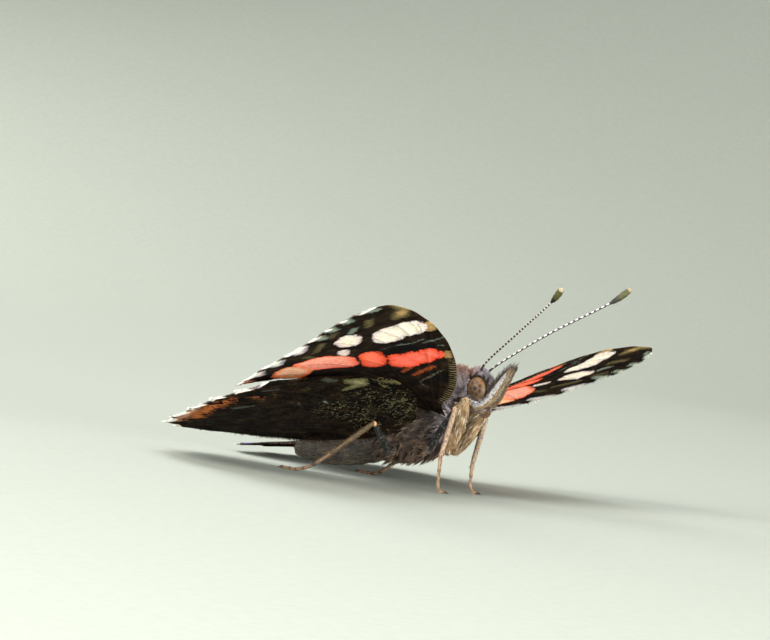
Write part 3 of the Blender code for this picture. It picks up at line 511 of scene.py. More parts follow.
# The markings of each face of each wing, as chains of (outward, forward, half width)
WING_MARKS = {
    ("forewing", "under"): {
        "olive": [
            [(17.7, 15.5, 0.8), (18.6, 16.8, 0.7)], [(18.9, 17.1, 0.5), (20.4, 17.9, 0.4)],
            [(19.0, 13.4, 0.35), (20.3, 14.9, 0.4)], [(19.3, 7.2, 0.3), (20.7, 9.8, 0.35)],
            [(20.9, 11.2, 0.25), (21.6, 12.4, 0.3)], [(18.2, 5.4, 0.3), (19.6, 6.2, 0.3)],
        ],
        "ochre": [
            [(12.7, 13.5, 0.45), (13.9, 14.5, 0.45)], [(7.5, 9.9, 0.45), (8.0, 10.5, 0.35)],
            [(17.9, 15.9, 0.45), (18.3, 16.4, 0.4)],
        ],
        "grey": [
            [(21.2, 17.0, 0.35), (22.3, 16.8, 0.45)], [(22.2, 15.0, 0.4), (23.1, 15.5, 0.5)],
            [(22.2, 13.3, 0.4), (23.3, 13.9, 0.6)], [(21.6, 11.2, 0.4), (22.9, 12.0, 0.65)],
            [(10.4, 12.8, 0.12), (11.0, 11.2, 0.2), (11.3, 9.0, 0.15)],
            [(11.8, 11.6, 0.12), (12.2, 9.4, 0.15)],
            [(9.3, 11.3, 0.12), (9.8, 10.9, 0.15)], [(12.6, 9.8, 0.12), (13.0, 8.2, 0.12)],
            [(19.7, 12.2, 0.35), (20.3, 13.2, 0.3)],
        ],
        "pale": [
            [(21.4, 8.0, 0.45), (22.4, 9.1, 0.75), (22.5, 9.7, 0.5)],
            [(20.9, 4.4, 0.45), (22.0, 5.6, 0.75), (22.1, 6.3, 0.5)],
            [(19.9, 0.9, 0.35), (21.2, 2.2, 0.6), (21.4, 2.9, 0.4)],
            [(19.0, -1.5, 0.25), (20.1, -0.8, 0.38)],
        ],
        "rust": [[(6.5, 4.4, 0.22), (6.7, 7.1, 0.3)], [(7.65, 4.2, 0.18), (7.9, 5.5, 0.26)]],
        "silver": [
            [(4.9, 3.5, 0.08), (5.3, 5.2, 0.13), (5.7, 7.4, 0.09)], [(3.7, 3.3, 0.09), (4.6, 3.2, 0.08)],
        ],
        "dark": [
            [(4.5, 3.9, 0.4), (4.8, 5.8, 0.35)], [(10.3, 10.4, 0.9), (12.2, 8.6, 0.8)], [(7.1, 7.7, 0.25)],
        ],
        "red": [
            [(8.5, 9.3, 0.95), (9.2, 9.3, 0.95)], [(8.6, 7.9, 1.1), (9.7, 8.0, 1.1)],
            [(8.9, 6.3, 1.15), (10.6, 6.9, 0.85)], [(9.2, 5.6, 0.85), (9.7, 5.8, 0.8)],
        ],
        "scarlet": [[(10.9, 4.2, 0.95), (12.1, 5.6, 1.1), (13.2, 6.4, 0.9)]],
        "salmon": [
            [(13.6, 3.3, 1.4), (15.3, 3.4, 2.35), (16.9, 4.0, 1.75)], [(17.5, 4.2, 1.0), (18.5, 4.0, 0.5)],
        ],
        "peach": [
            [(14.7, -2.2, 0.9), (15.3, -1.2, 1.3), (16.4, 0.2, 1.7), (17.9, 1.8, 1.1), (18.7, 2.7, 0.5)],
        ],
        "white": [
            [(14.3, 12.9, 1.35), (15.3, 13.4, 1.35)], [(14.8, 10.7, 1.25), (16.0, 12.1, 1.2)],
            [(17.4, 9.0, 0.85), (18.5, 10.2, 1.1), (19.2, 11.0, 0.7)],
            [(15.6, 6.1, 0.34), (16.5, 7.1, 0.46)],
        ],
    },
    ("forewing", "upper"): {
        "grey": [
            [(23.3, 16.2, 0.14), (23.4, 14.2, 0.16)], [(22.8, 12.2, 0.14), (22.2, 10.6, 0.16)],
            [(21.8, 8.2, 0.16), (21.6, 6.6, 0.16)],
        ],
        "red": [[(8.5, 9.0, 0.9), (10.2, 7.2, 1.3), (13.0, 5.1, 1.4), (16.0, 2.9, 1.5), (18.2, 0.6, 1.3)]],
        "white": [
            [(13.6, 13.8, 0.6), (15.6, 12.6, 0.9), (15.6, 10.9, 0.8)], [(18.1, 9.8, 0.75)],
            [(16.2, 7.0, 0.5)], [(19.8, 12.2, 0.4)], [(20.0, 14.1, 0.4)], [(18.6, 15.6, 0.3)],
        ],
    },
    ("hindwing", "under"): {
        "rust": [
            [(19.9, -8.2, 0.7), (19.5, -10.2, 1.1), (18.2, -12.4, 1.2), (16.0, -13.9, 1.0)],
            [(17.6, -5.6, 0.4), (18.8, -6.6, 0.4)],
        ],
        "salmon": [[(19.9, -11.4, 0.5), (18.6, -13.4, 0.9), (16.6, -15.4, 0.8), (14.2, -17.0, 0.6)]],
        "grey": [
            [(16.3, -8.1, 0.4), (16.7, -9.4, 0.5)], [(18.6, -4.0, 0.25), (19.4, -5.0, 0.25)],
            [(15.2, 0.2, 0.3), (16.3, -0.1, 0.4)], [(12.0, -14.6, 0.3), (11.2, -15.4, 0.3)],
        ],
        "silver": [[(10.6, -3.1, 0.09), (11.7, -2.9, 0.1)], [(12.6, -4.9, 0.06), (13.4, -4.6, 0.06)]],
        "dark": [
            [(20.2, -12.7, 0.26)], [(18.9, -13.5, 0.26)], [(17.2, -15.6, 0.24)], [(15.2, -17.2, 0.24)],
            [(14.5, -11.8, 0.6)], [(11.6, -15.0, 0.6)],
        ],
        "hem": [
            [(21.1, -4.5, 0.42), (21.5, -6.2, 0.46)], [(21.7, -8.2, 0.42), (21.4, -9.6, 0.44)],
            [(20.6, -11.2, 0.36), (20.0, -12.2, 0.40)], [(19.0, -14.1, 0.32), (18.0, -15.3, 0.36)],
            [(16.0, -17.0, 0.22), (14.8, -18.0, 0.26)], [(11.2, -19.5, 0.16), (9.4, -20.2, 0.2)],
        ],
        "cream": [
            [(11.8, 1.5, 0.45), (12.6, 1.5, 0.8), (13.7, 1.0, 0.5), (14.4, 0.9, 0.22)],
            [(12.2, 0.9, 0.6), (12.4, -0.3, 0.3)], [(8.7, 3.9, 0.3), (9.9, 3.3, 0.3), (11.0, 2.8, 0.15)],
            [(5.3, 2.4, 0.22), (5.6, 1.7, 0.2)], [(3.4, 2.0, 0.15), (2.6, 1.0, 0.2)],
        ],
        "marbled": [
            [(1.0, 0.2, 1.4), (5.0, 1.8, 2.2), (10.0, 2.0, 1.6)], [(3.0, -2.5, 1.2), (9.0, -3.0, 1.6)],
        ],
    },
    ("hindwing", "upper"): {
        "red": [[
            (19.4, -6.3, 0.7), (18.8, -9.3, 1.0), (17.4, -12.3, 1.15), (14.9, -15.2, 1.15),
            (11.6, -17.7, 1.05), (9.2, -18.8, 0.8),
        ]],
        "dark": [
            [(19.3, -8.1, 0.36)], [(18.1, -10.8, 0.4)], [(16.2, -13.8, 0.42)], [(13.4, -16.5, 0.4)],
            [(7.4, -19.0, 0.85)],
        ],
        "violet": [[(6.9, -19.2, 0.35), (7.9, -19.4, 0.35)]],
    },
}
# The edge and the middle colour of each marking
MARK_COLOURS = {
    ("forewing", "under"): {
        "olive": ((62, 56, 36), (112, 100, 64)), "ochre": ((126, 104, 66), (182, 156, 104)),
        "grey": ((84, 94, 84), (150, 162, 148)), "pale": ((140, 136, 146), (222, 228, 218)),
        "rust": ((120, 56, 28), (198, 98, 50)), "silver": ((84, 82, 72), (150, 150, 140)),
        "dark": ((14, 13, 12), (8, 8, 8)), "red": ((226, 76, 50), (240, 108, 88)),
        "scarlet": ((236, 84, 52), (250, 112, 84)), "salmon": ((250, 112, 82), (255, 158, 136)),
        "peach": ((255, 146, 94), (255, 198, 164)), "white": ((200, 190, 188), (228, 222, 202)),
    },
    ("forewing", "upper"): {
        "red": ((214, 54, 16), (232, 74, 26)), "white": ((226, 226, 224), (248, 248, 242)),
        "grey": ((96, 104, 124), (120, 130, 150)),
    },
    ("hindwing", "under"): {
        "rust": ((84, 46, 22), (152, 86, 42)), "salmon": ((104, 72, 50), (176, 128, 98)),
        "grey": ((44, 48, 40), (70, 76, 62)), "silver": ((92, 98, 98), (140, 150, 156)),
        "dark": ((14, 13, 11), (9, 8, 8)), "cream": ((66, 64, 40), (112, 108, 76)),
        "hem": ((132, 118, 132), (222, 222, 216)),
    },
    ("hindwing", "upper"): {
        "red": ((212, 62, 18), (232, 86, 30)), "dark": ((16, 13, 12), (12, 10, 10)),
        "violet": ((80, 96, 170), (104, 126, 214)),
    },
}
GROUND_COLOURS = {
    ("forewing", "under"): ((11, 9, 6), (40, 30, 19)),
    ("forewing", "upper"): ((14, 11, 10), (34, 25, 19)),
    ("hindwing", "under"): ((6, 4, 3), (45, 36, 21)),
    ("hindwing", "upper"): ((30, 20, 15), (52, 36, 26)),
}
STRIPE_LENGTH = 0.46
# Marks broken up by streaks that run out along the veins
STREAKED_MARKS = {("hindwing", "under", "rust"), ("hindwing", "under", "salmon")}


def product(tree, first, *others):
    """Numbers multiplied together."""
    for other in others:
        first = math_node(tree, "MULTIPLY", first, other)
    return first


def vector_product(tree, first, second):
    return add_node(tree, "ShaderNodeVectorMath", {0: first, 1: second}, operation="MULTIPLY").outputs[0]


def scale_rows_group():
    """Rows of overlapping wing scales: a tint for each scale and the height of its tilted face."""
    group, inputs, outputs = new_group(
        "scale_rows", {"Place": "Vector", "Scales per mm": "Float"}, {"Tint": "Float", "Height": "Float"},
    )
    longer = vector_product(group, inputs["Place"], (0.55, 1.25, 1.0))
    settings = {"Vector": longer, "Scale": inputs["Scales per mm"], "Randomness": 0.75}
    cells = add_node(group, "ShaderNodeTexVoronoi", settings)
    tint = add_node(group, "ShaderNodeSeparateColor", {"Color": cells.outputs["Color"]}).outputs[0]
    group.links.new(tint, outputs["Tint"])
    group.links.new(math_node(group, "SUBTRACT", 1.0, cells.outputs["Distance"]), outputs["Height"])
    return group


def wing_streaks_group():
    """Streaks and finer hairlines that fan out from the hinge, and larger clouds, each from 0 to 1."""
    group, inputs, outputs = new_group(
        "wing_streaks", {"Place": "Vector"}, {"Streaks": "Float", "Hairlines": "Float", "Clouds": "Float"},
    )
    place = inputs["Place"]
    x, y = add_node(group, "ShaderNodeSeparateXYZ", {"Vector": place}).outputs[:2]
    length = add_node(group, "ShaderNodeVectorMath", {0: place}, operation="LENGTH").outputs["Value"]
    polar = add_node(group, "ShaderNodeCombineXYZ", {"X": math_node(group, "ARCTAN2", y, x), "Y": length})
    for name, closeness, detail, low, high in (
        ("Streaks", (15.0, 0.7, 0.0), 4, 0.42, 0.64), ("Hairlines", (62.0, 1.3, 0.0), 3, 0.38, 0.62),
    ):
        fan = noise_at(group, vector_product(group, polar.outputs[0], closeness), 1.0, detail)
        group.links.new(ramp(group, fan, low, high), outputs[name])
    group.links.new(ramp(group, noise_at(group, place, 0.55, 6), 0.38, 0.64), outputs["Clouds"])
    return group


scale_rows = scale_rows_group()
wing_streaks = wing_streaks_group()


def add_costal_stripes(tree, colour):
    """Short pale bars across the front edge of the forewing's underside, from its root to the red band."""
    run = attribute(tree, "costa_run")
    plan = attribute(tree, "plan", "Vector")
    waver = noise_at(tree, plan, 1.6, 3)
    run = math_node(tree, "MULTIPLY_ADD", waver, 0.6, run)
    share = math_node(tree, "FRACT", math_node(tree, "DIVIDE", run, STRIPE_LENGTH))
    bar = ramp(tree, math_node(tree, "ABSOLUTE", math_node(tree, "SUBTRACT", share, 0.5)), 0.24, 0.12)
    for name, low, high in (("from_costa", 0.80, 0.45), ("costa_run", 13.5, 12.0), ("costa_run", 2.4, 3.0)):
        bar = product(tree, bar, ramp(tree, attribute(tree, name), low, high))
    broken = ramp(tree, waver, 0.34, 0.52, 0.35, 0.85)
    return mix_colours(tree, product(tree, bar, broken), colour, (108, 98, 68))


def add_marbling(tree, plan, colour):
    """Black blots and broken olive flecks, over the root and front of the hindwing's underside."""
    noise = noise_at(tree, plan, 0.8, 4, Distortion=1.2)
    crumbs = noise_at(tree, plan, 3.4, 3)
    off_middle = math_node(tree, "ABSOLUTE", math_node(tree, "SUBTRACT", noise, 0.5))
    place = ramp(tree, attribute(tree, "under_marbled"), -1.6, 0.6, 0.10, 1.0)
    lines = product(tree, ramp(tree, off_middle, 0.060, 0.012, 0.0, 0.8), place)
    lines = product(tree, lines, ramp(tree, crumbs, 0.46, 0.60))
    blots = product(tree, ramp(tree, noise, 0.50, 0.54, 0.0, 0.95), place)
    colour = mix_colours(tree, blots, colour, (5, 4, 3))
    return mix_colours(tree, lines, colour, (92, 88, 60))


def wing_material(kind, face):
    """The scales of one face of a wing: its ground, then each marking ragged at its edge by whole scales."""
    material, shader = new_material(f"{kind}_{face}_scales", roughness=0.8, specular=0.0)
    tree = material.node_tree
    plan = attribute(tree, "plan", "Vector")
    scales = use_group(tree, scale_rows, Place=plan, Scales_per_mm=WING_SCALES_PER_MM)
    tint = scales["Tint"]
    patches = use_group(tree, wing_streaks, Place=plan)
    share = product(tree, patches["Clouds"], math_node(tree, "MULTIPLY_ADD", patches["Streaks"], 0.7, 0.3))
    if kind == "hindwing":
        share = product(tree, share, math_node(tree, "MULTIPLY_ADD", patches["Hairlines"], 0.8, 0.2))
    colour = mix_colours(tree, share, *GROUND_COLOURS[kind, face])
    if (kind, face) == ("forewing", "under"):
        colour = add_costal_stripes(tree, colour)
    if (kind, face) == ("hindwing", "under"):
        colour = add_marbling(tree, plan, colour)
    vein = ramp(tree, attribute(tree, "from_vein"), 0.16, 0.04, 0.0, 0.6)
    colour = mix_colours(tree, vein, colour, (27, 19, 13))
    rag = math_node(tree, "MULTIPLY_ADD", tint, 0.22, -0.11)
    for mark, (edge, middle) in MARK_COLOURS[kind, face].items():
        depth = attribute(tree, f"{face}_{mark}")
        ragged = math_node(tree, "ADD", depth, rag)
        if (kind, face, mark) in STREAKED_MARKS:
            streak = math_node(tree, "ADD", patches["Streaks"], patches["Hairlines"])
            ragged = math_node(tree, "ADD", ragged, math_node(tree, "MULTIPLY_ADD", streak, 0.95, -1.15))
        inside = mix_colours(tree, ramp(tree, depth, 0.05, 0.75), edge, middle)
        colour = mix_colours(tree, ramp(tree, ragged, -0.08, 0.10), colour, inside)
    at_margin = ramp(tree, attribute(tree, "from_margin"), 0.34, 0.16)
    hem = product(tree, at_margin, ramp(tree, attribute(tree, "from_vein_end"), 0.5, 0.72), 0.85)
    colour = mix_colours(tree, hem, colour, (226, 226, 216))
    fine_vein = ramp(tree, attribute(tree, "from_vein"), 0.12, 0.03, 0.0, 0.3)
    colour = mix_colours(tree, fine_vein, colour, (36, 23, 16))
    shine = ramp(tree, tint, 0.0, 1.0, 0.74, 1.2)
    tree.links.new(vector_product(tree, colour, shine), shader.inputs["Base Color"])
    shader.inputs["Sheen Weight"].default_value = 0.008
    shader.inputs["Sheen Tint"].default_value = SHEEN_TINT
    shader.inputs["Subsurface Weight"].default_value = 0.6
    shader.inputs["Subsurface Radius"].default_value = (1.0, 0.6, 0.45)
    shader.inputs["Subsurface Scale"].default_value = 0.4 * MM
    set_bump(tree, shader, scales["Height"], 0.03, strength=0.6)
    return material


wing_materials = {(kind, face): wing_material(kind, face) for kind, face in WING_MARKS}
wing_plans = {"forewing": wing_plan(FOREWING), "hindwing": wing_plan(HINDWING)}
for name in WING_POSES:
    kind = name.split("_")[0]
    plan = wing_plans[kind]
    flat = plan["flat"]
    ridge = VEIN_RISE * np.exp(-(plan["from_vein"] / VEIN_SPREAD) ** 2)
    thick = np.where(plan["from_edge"] < 0.02, WING_EDGE_HALF_THICKNESS, WING_HALF_THICKNESS) + ridge
    places = np.vstack([wing_place(name, flat, thick), wing_place(name, flat, -thick)])
    count = len(flat)
    upper = plan["faces"] if name.endswith("right") else plan["faces"][:, ::-1]
    under = upper[:, ::-1] + count
    sides = np.sort(np.vstack([plan["faces"][:, pair] for pair in ([0, 1], [1, 2], [2, 0])]), 1)
    sides, seen = np.unique(sides, axis=0, return_counts=True)
    rim = sides[seen == 1]
    wall = np.vstack([
        np.stack([rim[:, 0], rim[:, 1], rim[:, 1] + count], 1),
        np.stack([rim[:, 0], rim[:, 1] + count, rim[:, 0] + count], 1),
    ])
    materials = [wing_materials[kind, face] for face in ("under", "upper")]
    wing = new_piece(f"{name}_membrane", places, np.vstack([upper, under, wall]), materials)
    finish = np.zeros(len(wing.data.polygons), np.int32)
    finish[:len(upper)] = 1
    wing.data.polygons.foreach_set("material_index", finish)
    bm = bmesh.new()
    bm.from_mesh(wing.data)
    bmesh.ops.recalc_face_normals(bm, faces=bm.faces)
    bm.to_mesh(wing.data)
    bm.free()
    both = np.vstack([flat, flat])
    store(wing, "plan", np.column_stack([both, np.zeros(len(both))]))
    for measure in ("from_vein", "from_costa", "from_margin", "from_vein_end", "costa_run"):
        store(wing, measure, np.tile(plan[measure], 2))
    for face in ("under", "upper"):
        for mark, chains in WING_MARKS[kind, face].items():
            store(wing, f"{face}_{mark}", np.tile(depth_in_marks(flat, chains), 2))
    spread = (flat - flat.min(0)) / np.ptp(flat, axis=0) * (0.46, 0.96)
    store_map(wing, np.vstack([spread + (0.52, 0.02), spread + (0.02, 0.02)]))
    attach(wing, "root")
    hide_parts(name)


# Skin: horny plates of head, collar, thorax, hips and ringed abdomen, thin and dark under the coat. In
# life they are joined by soft membrane, so here they are one closed surface. Egg shapes are centre, half
# lengths along, across and up, and the angle that the front end is raised by.
HEAD = ((3.35, 0, 2.55), (1.25, 1.15, 1.75), 12)
COLLAR = ((1.5, 0, 2.35), (1.25, 1.5, 1.8), 20)
THORAX = ((-2.1, 0, -1.45), (4.55, 2.3, 3.35), 36)
ABDOMEN_FRONT = np.array((-4.6, 0, -3.7))
ABDOMEN_TIP = np.array((-14.5, 0, -5.85))
ABDOMEN_RINGS = 8
HIPS = {"mid": (-0.1, 1.95, -4.05), "hind": (-3.75, 2.15, -4.75)}
HIP_DEPTH = 1.5
HIP_RADIUS = 0.50
HIP_END_RADIUS = 0.43
SKIN_VOXEL = 0.12
SKIN_INSET = 0.06
BODY_LINE = ((-14.5, -5.85), (-9.5, -5.1), (-5.5, -3.6), (-2.1, -1.45), (1.5, 2.0), (4.6, 2.7))


def egg_turn(pitch):
    return np.array(Matrix.Rotation(math.radians(-pitch), 3, "Y"))


def egg_depth(places, egg):
    """1 on an egg's surface, less inside it and more outside."""
    centre, half, pitch = egg
    local = (places - centre) @ egg_turn(pitch)
    return np.linalg.norm(local / half, axis=1)


def tube(rings, ends):
    """Triangles of rings joined one to the next, each end gathered in its pole, and their map corners."""
    rows, sides = rings.shape[:2]
    i = np.arange(sides)
    j = (i + 1) % sides
    left, right = i / sides, (i + 1) / sides
    faces, spots = [], []

    def add_triangles(corners, across, up):
        """One triangle from each side of a ring, its corners' places across and up the map."""
        faces.append(np.stack(np.broadcast_arrays(*corners), 1))
        spots.append(np.stack([np.stack(np.broadcast_arrays(i, *part)[1:], 1) for part in (across, up)], 2))

    for row in range(rows - 1):
        low, high = (row + 1) / (rows + 1), (row + 2) / (rows + 1)
        a, b, c, d = row * sides + i, row * sides + j, (row + 1) * sides + j, (row + 1) * sides + i
        add_triangles((a, b, c), (left, right, right), (low, low, high))
        add_triangles((a, c, d), (left, right, left), (low, high, high))
    top, edge, middle = (rows - 1) * sides, 1 / (rows + 1), (left + right) / 2
    add_triangles((j, i, rows * sides), (right, left, middle), (edge, edge, 0))
    add_triangles((top + i, top + j, rows * sides + 1), (left, right, middle), (1 - edge, 1 - edge, 1))
    return np.vstack([rings.reshape(-1, 3), ends]), np.vstack(faces), np.vstack(spots).reshape(-1, 2)


def egg_shell(egg, grow=0.0, sides=48, rows=32):
    """An egg's surface, grown outward, with its poles in front and behind."""
    centre, half, pitch = egg
    half = np.array(half) + grow
    turn = egg_turn(pitch)
    around = np.pi * np.arange(1, rows) / rows
    angle = math.tau * np.arange(sides) / sides
    local = np.stack([
        -np.cos(around)[:, None] * half[0] * np.ones(sides),
        np.sin(around)[:, None] * np.cos(angle) * half[1],
        np.sin(around)[:, None] * np.sin(angle) * half[2],
    ], 2)
    ends = np.array([[-half[0], 0, 0], [half[0], 0, 0]]) @ turn.T + centre
    return tube(local @ turn.T + centre, ends)


def limb(stations, sides=12, spans=4, grow=0.0):
    """A tapering form along stations of (x, y, z, half thickness across, half depth)."""
    stations = smooth_curve(stations, spans)
    places, sizes = stations[:, :3], stations[:, 3:] + grow
    ahead = np.gradient(places, axis=0)
    ahead /= np.linalg.norm(ahead, axis=1)[:, None]
    across = np.array((0, 1, 0)) - ahead * ahead[:, 1:2]
    across /= np.linalg.norm(across, axis=1)[:, None]
    up = np.cross(ahead, across)
    angle = math.tau * np.arange(sides) / sides
    rings = (
        places[:, None]
        + across[:, None] * (sizes[:, 0, None] * np.cos(angle))[:, :, None]
        + up[:, None] * (sizes[:, 1, None] * np.sin(angle))[:, :, None]
    )
    ends = [places[0] - ahead[0] * sizes[0, 1] * 0.3, places[-1] + ahead[-1] * sizes[-1, 1] * 0.3]
    return tube(rings, ends)


def abdomen_stations():
    """Eight rings, each ending in a small step down to the next, and narrowing to the tail."""
    stations = []
    for ring in range(ABDOMEN_RINGS):
        for part in (0.02, 0.5, 0.90, 0.98):
            along = (ring + part) / ABDOMEN_RINGS
            centre = ABDOMEN_FRONT + (ABDOMEN_TIP - ABDOMEN_FRONT) * along
            centre[2] -= 0.35 * math.sin(math.pi * along)
            swell = math.sin(math.pi * (0.30 + 0.62 * along)) ** 0.55
            step = 0.12 * min(part, 0.9) * (1 - 0.6 * along) - (0.1 if part > 0.9 else 0)
            stations.append((*centre, 1.6 * swell - 0.12 + step, 1.75 * swell - 0.12 + step))
    return stations


def join_shells(shells):
    """Several closed forms as one list of points and faces, their maps side by side."""
    points, faces, spots, start = [], [], [], 0
    for order, (shell_points, shell_faces, shell_spots) in enumerate(shells):
        points.append(shell_points)
        faces.append(shell_faces + start)
        shifted = shell_spots * (0.94 / len(shells), 0.94) + ((order + 0.03) / len(shells), 0.03)
        spots.append(shifted)
        start += len(shell_points)
    return np.vstack(points), np.vstack(faces), np.vstack(spots)


def melt_together(points, faces, voxel):
    """One closed surface round several overlapping forms, its creases softened."""
    mesh = bpy.data.meshes.new("raw")
    mesh.from_pydata(points.tolist(), [], faces.tolist())
    raw = bpy.data.objects.new("raw", mesh)
    bpy.context.scene.collection.objects.link(raw)
    remesh = raw.modifiers.new("remesh", "REMESH")
    remesh.mode = "VOXEL"
    remesh.voxel_size = voxel
    soften = raw.modifiers.new("soften", "SMOOTH")
    soften.factor = 0.5
    soften.iterations = 5
    raw.modifiers.new("triangles", "TRIANGULATE")
    melted = bpy.data.meshes.new_from_object(raw.evaluated_get(bpy.context.evaluated_depsgraph_get()))
    bpy.data.objects.remove(raw)
    points = np.zeros(len(melted.vertices) * 3, np.float32)
    melted.vertices.foreach_get("co", points)
    faces = np.zeros(len(melted.polygons) * 3, np.int32)
    melted.polygons.foreach_get("vertices", faces)
    bpy.data.meshes.remove(melted)
    return points.reshape(-1, 3).astype(float), faces.reshape(-1, 3)


def round_body(places):
    """A place on the body's unwrap: how far round from its back, and how far from the tail."""
    xs, zs = zip(*BODY_LINE)
    middle = np.interp(places[:, 0], xs, zs)
    return np.stack([
        np.arctan2(places[:, 1], places[:, 2] - middle) / math.tau + 0.5,
        (places[:, 0] - xs[0]) / (xs[-1] - xs[0]),
    ], 1)


def fit_square(spots):
    """Map places moved and stretched to fill the square, but for a narrow edge."""
    low, high = spots.min(0), spots.max(0)
    return inside_edge((spots - low) / np.maximum(high - low, 1e-6))


def seam_corners(spots, faces):
    """Map corners of a round unwrap, with the faces over its seam kept whole."""
    corners = spots[faces]
    across = corners[..., 0]
    wide = np.ptp(across, axis=1) > 0.5
    across[wide] += np.where(across[wide] < 0.5, 1.0, 0.0)
    return fit_square(corners.reshape(-1, 2))


hip_shells = []
for side in (RIGHT, LEFT):
    for hip in HIPS.values():
        hip = np.array((hip[0], hip[1] * side, hip[2]))
        inward = np.array(THORAX[0]) - hip
        root = hip + inward / np.linalg.norm(inward) * HIP_DEPTH
        radii = (HIP_RADIUS, HIP_RADIUS, HIP_END_RADIUS)
        stations = [(*(root + (hip - root) * t), r, r) for t, r in zip((0, 0.5, 1), radii)]
        hip_shells.append(limb(stations))
shells = [egg_shell(egg, -SKIN_INSET) for egg in (HEAD, COLLAR, THORAX)]
shells += [limb(abdomen_stations(), sides=40, spans=3, grow=-SKIN_INSET), *hip_shells]
skin_points, skin_faces, _ = join_shells(shells)
skin_points, skin_faces = melt_together(skin_points, skin_faces, SKIN_VOXEL)
skin_tree = BVHTree.FromPolygons(skin_points.tolist(), skin_faces.tolist())


def body_colours_group():
    """The coat's colour: rufous and grey shoulders, grey crown, grey-brown thorax, dark abdomen."""
    group, inputs, outputs = new_group("body_colours", {"Place": "Vector"}, {"Colour": "Color"})
    place = inputs["Place"]
    x, _, z = add_node(group, "ShaderNodeSeparateXYZ", {"Vector": place}).outputs
    patchy = ramp(group, noise_at(group, place, 1.1, 5, Roughness=0.7), 0.38, 0.62)
    streaky = ramp(group, noise_at(group, vector_product(group, place, (2.4, 2.4, 0.5)), 1.3, 3), 0.42, 0.58)
    colour = mix_colours(group, patchy, (34, 27, 21), (84, 70, 59))
    breast = mix_colours(group, patchy, (44, 33, 25), (92, 73, 56))
    colour = mix_colours(group, ramp(group, z, -2.0, -4.2), colour, breast)
    back = mix_colours(group, patchy, (34, 27, 20), (72, 59, 45))
    above_line = math_node(group, "MULTIPLY_ADD", x, -0.75, z)
    colour = mix_colours(group, ramp(group, above_line, 1.6, 3.0), colour, back)
    shoulder = mix_colours(group, streaky, (70, 66, 67), (112, 104, 104))
    rufous = mix_colours(group, streaky, (84, 60, 50), (124, 92, 80))
    shoulder = mix_colours(group, ramp(group, z, 2.6, 3.6), shoulder, rufous)
    colour = mix_colours(group, ramp(group, x, 0.2, 1.0), colour, shoulder)
    crown = mix_colours(group, streaky, (86, 80, 84), (144, 135, 139))
    colour = mix_colours(group, ramp(group, x, 2.7, 3.2), colour, crown)
    belly = mix_colours(group, patchy, (26, 22, 15), (56, 50, 36))
    rump = mix_colours(group, patchy, (24, 20, 14), (46, 39, 28))
    above = math_node(group, "MULTIPLY_ADD", x, -0.22, z)
    abdomen = mix_colours(group, ramp(group, above, -3.3, -2.3), belly, rump)
    colour = mix_colours(group, ramp(group, x, -4.6, -6.0), colour, abdomen)
    group.links.new(colour, outputs["Colour"])
    return group


body_colours = body_colours_group()
skin_material, skin_shader = new_material("body_skin", roughness=0.55)
tree = skin_material.node_tree
skin_place = attribute(tree, "place", "Vector")
skin_colour = use_group(tree, body_colours, Place=skin_place)["Colour"]
tree.links.new(mix_colours(tree, 0.55, skin_colour, (24, 17, 14)), skin_shader.inputs["Base Color"])
set_bump(tree, skin_shader, noise_at(tree, skin_place, 9, 3), 0.05)

skin = new_piece("body_skin", skin_points, skin_faces, [skin_material])
store(skin, "place", skin_points)
store_map(skin, seam_corners(round_body(skin_points), skin_faces))
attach(skin, "root")
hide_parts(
    "head", "collar", "thorax", "abdomen", "mid_right_coxa", "mid_left_coxa", "hind_right_coxa",
    "hind_left_coxa",
)


# Coat: hair-like scales in wavy locks that lie back over the thorax and hang from the breast, stand up on
# the collar and crown, and lie close and short on the abdomen. Each hair is a thin solid blade, sunk in the
# skin at its root; the locks grow only where nothing else is in their way.
EYE = ((3.66, 0.98, 2.63), (0.98, 0.72, 1.18), 12)
# Where a blade's three rings and its tip are along it, how wide each ring is, and a blade's place on the map
BLADE_SHARES = (0.0, 0.35, 0.7, 1.0)
BLADE_RINGS = (0.85, 1.0, 0.7)
BLADE_POINTS = 10
MAP_PATCH = 0.003
HAIR_THICKNESS = 0.03


def spread_roots(points, faces, spacing, wanted):
    """Root places spread evenly at random over the wanted part of a surface, and the way out of it there."""
    corners = points[faces]
    normals = np.cross(corners[:, 1] - corners[:, 0], corners[:, 2] - corners[:, 0])
    areas = np.linalg.norm(normals, axis=1) / 2
    chosen = wanted(corners.mean(1))
    weights = np.where(chosen, areas, 0)
    tries = int(weights.sum() / spacing ** 2 * 4)
    picks = dice.choice(len(faces), tries, p=weights / weights.sum())
    first, second = dice.random((2, tries, 1))
    over = first + second > 1
    first, second = np.where(over, 1 - first, first), np.where(over, 1 - second, second)
    a, b, c = corners[picks].transpose(1, 0, 2)
    spots = a + (b - a) * first + (c - a) * second
    kept, cells = [], {}
    for i, spot in enumerate(spots):
        cell = tuple((spot // spacing).astype(int))
        near = [
            kept[k] for dx in (-1, 0, 1) for dy in (-1, 0, 1) for dz in (-1, 0, 1)
            for k in cells.get((cell[0] + dx, cell[1] + dy, cell[2] + dz), ())
        ]
        if all(((spots[k] - spot) ** 2).sum() > spacing ** 2 for k in near):
            cells.setdefault(cell, []).append(len(kept))
            kept.append(i)
    outward = normals[picks[kept]]
    return spots[kept], outward / np.linalg.norm(outward, axis=1)[:, None]


def unit(vectors):
    return vectors / np.maximum(np.linalg.norm(vectors, axis=-1, keepdims=True), 1e-9)


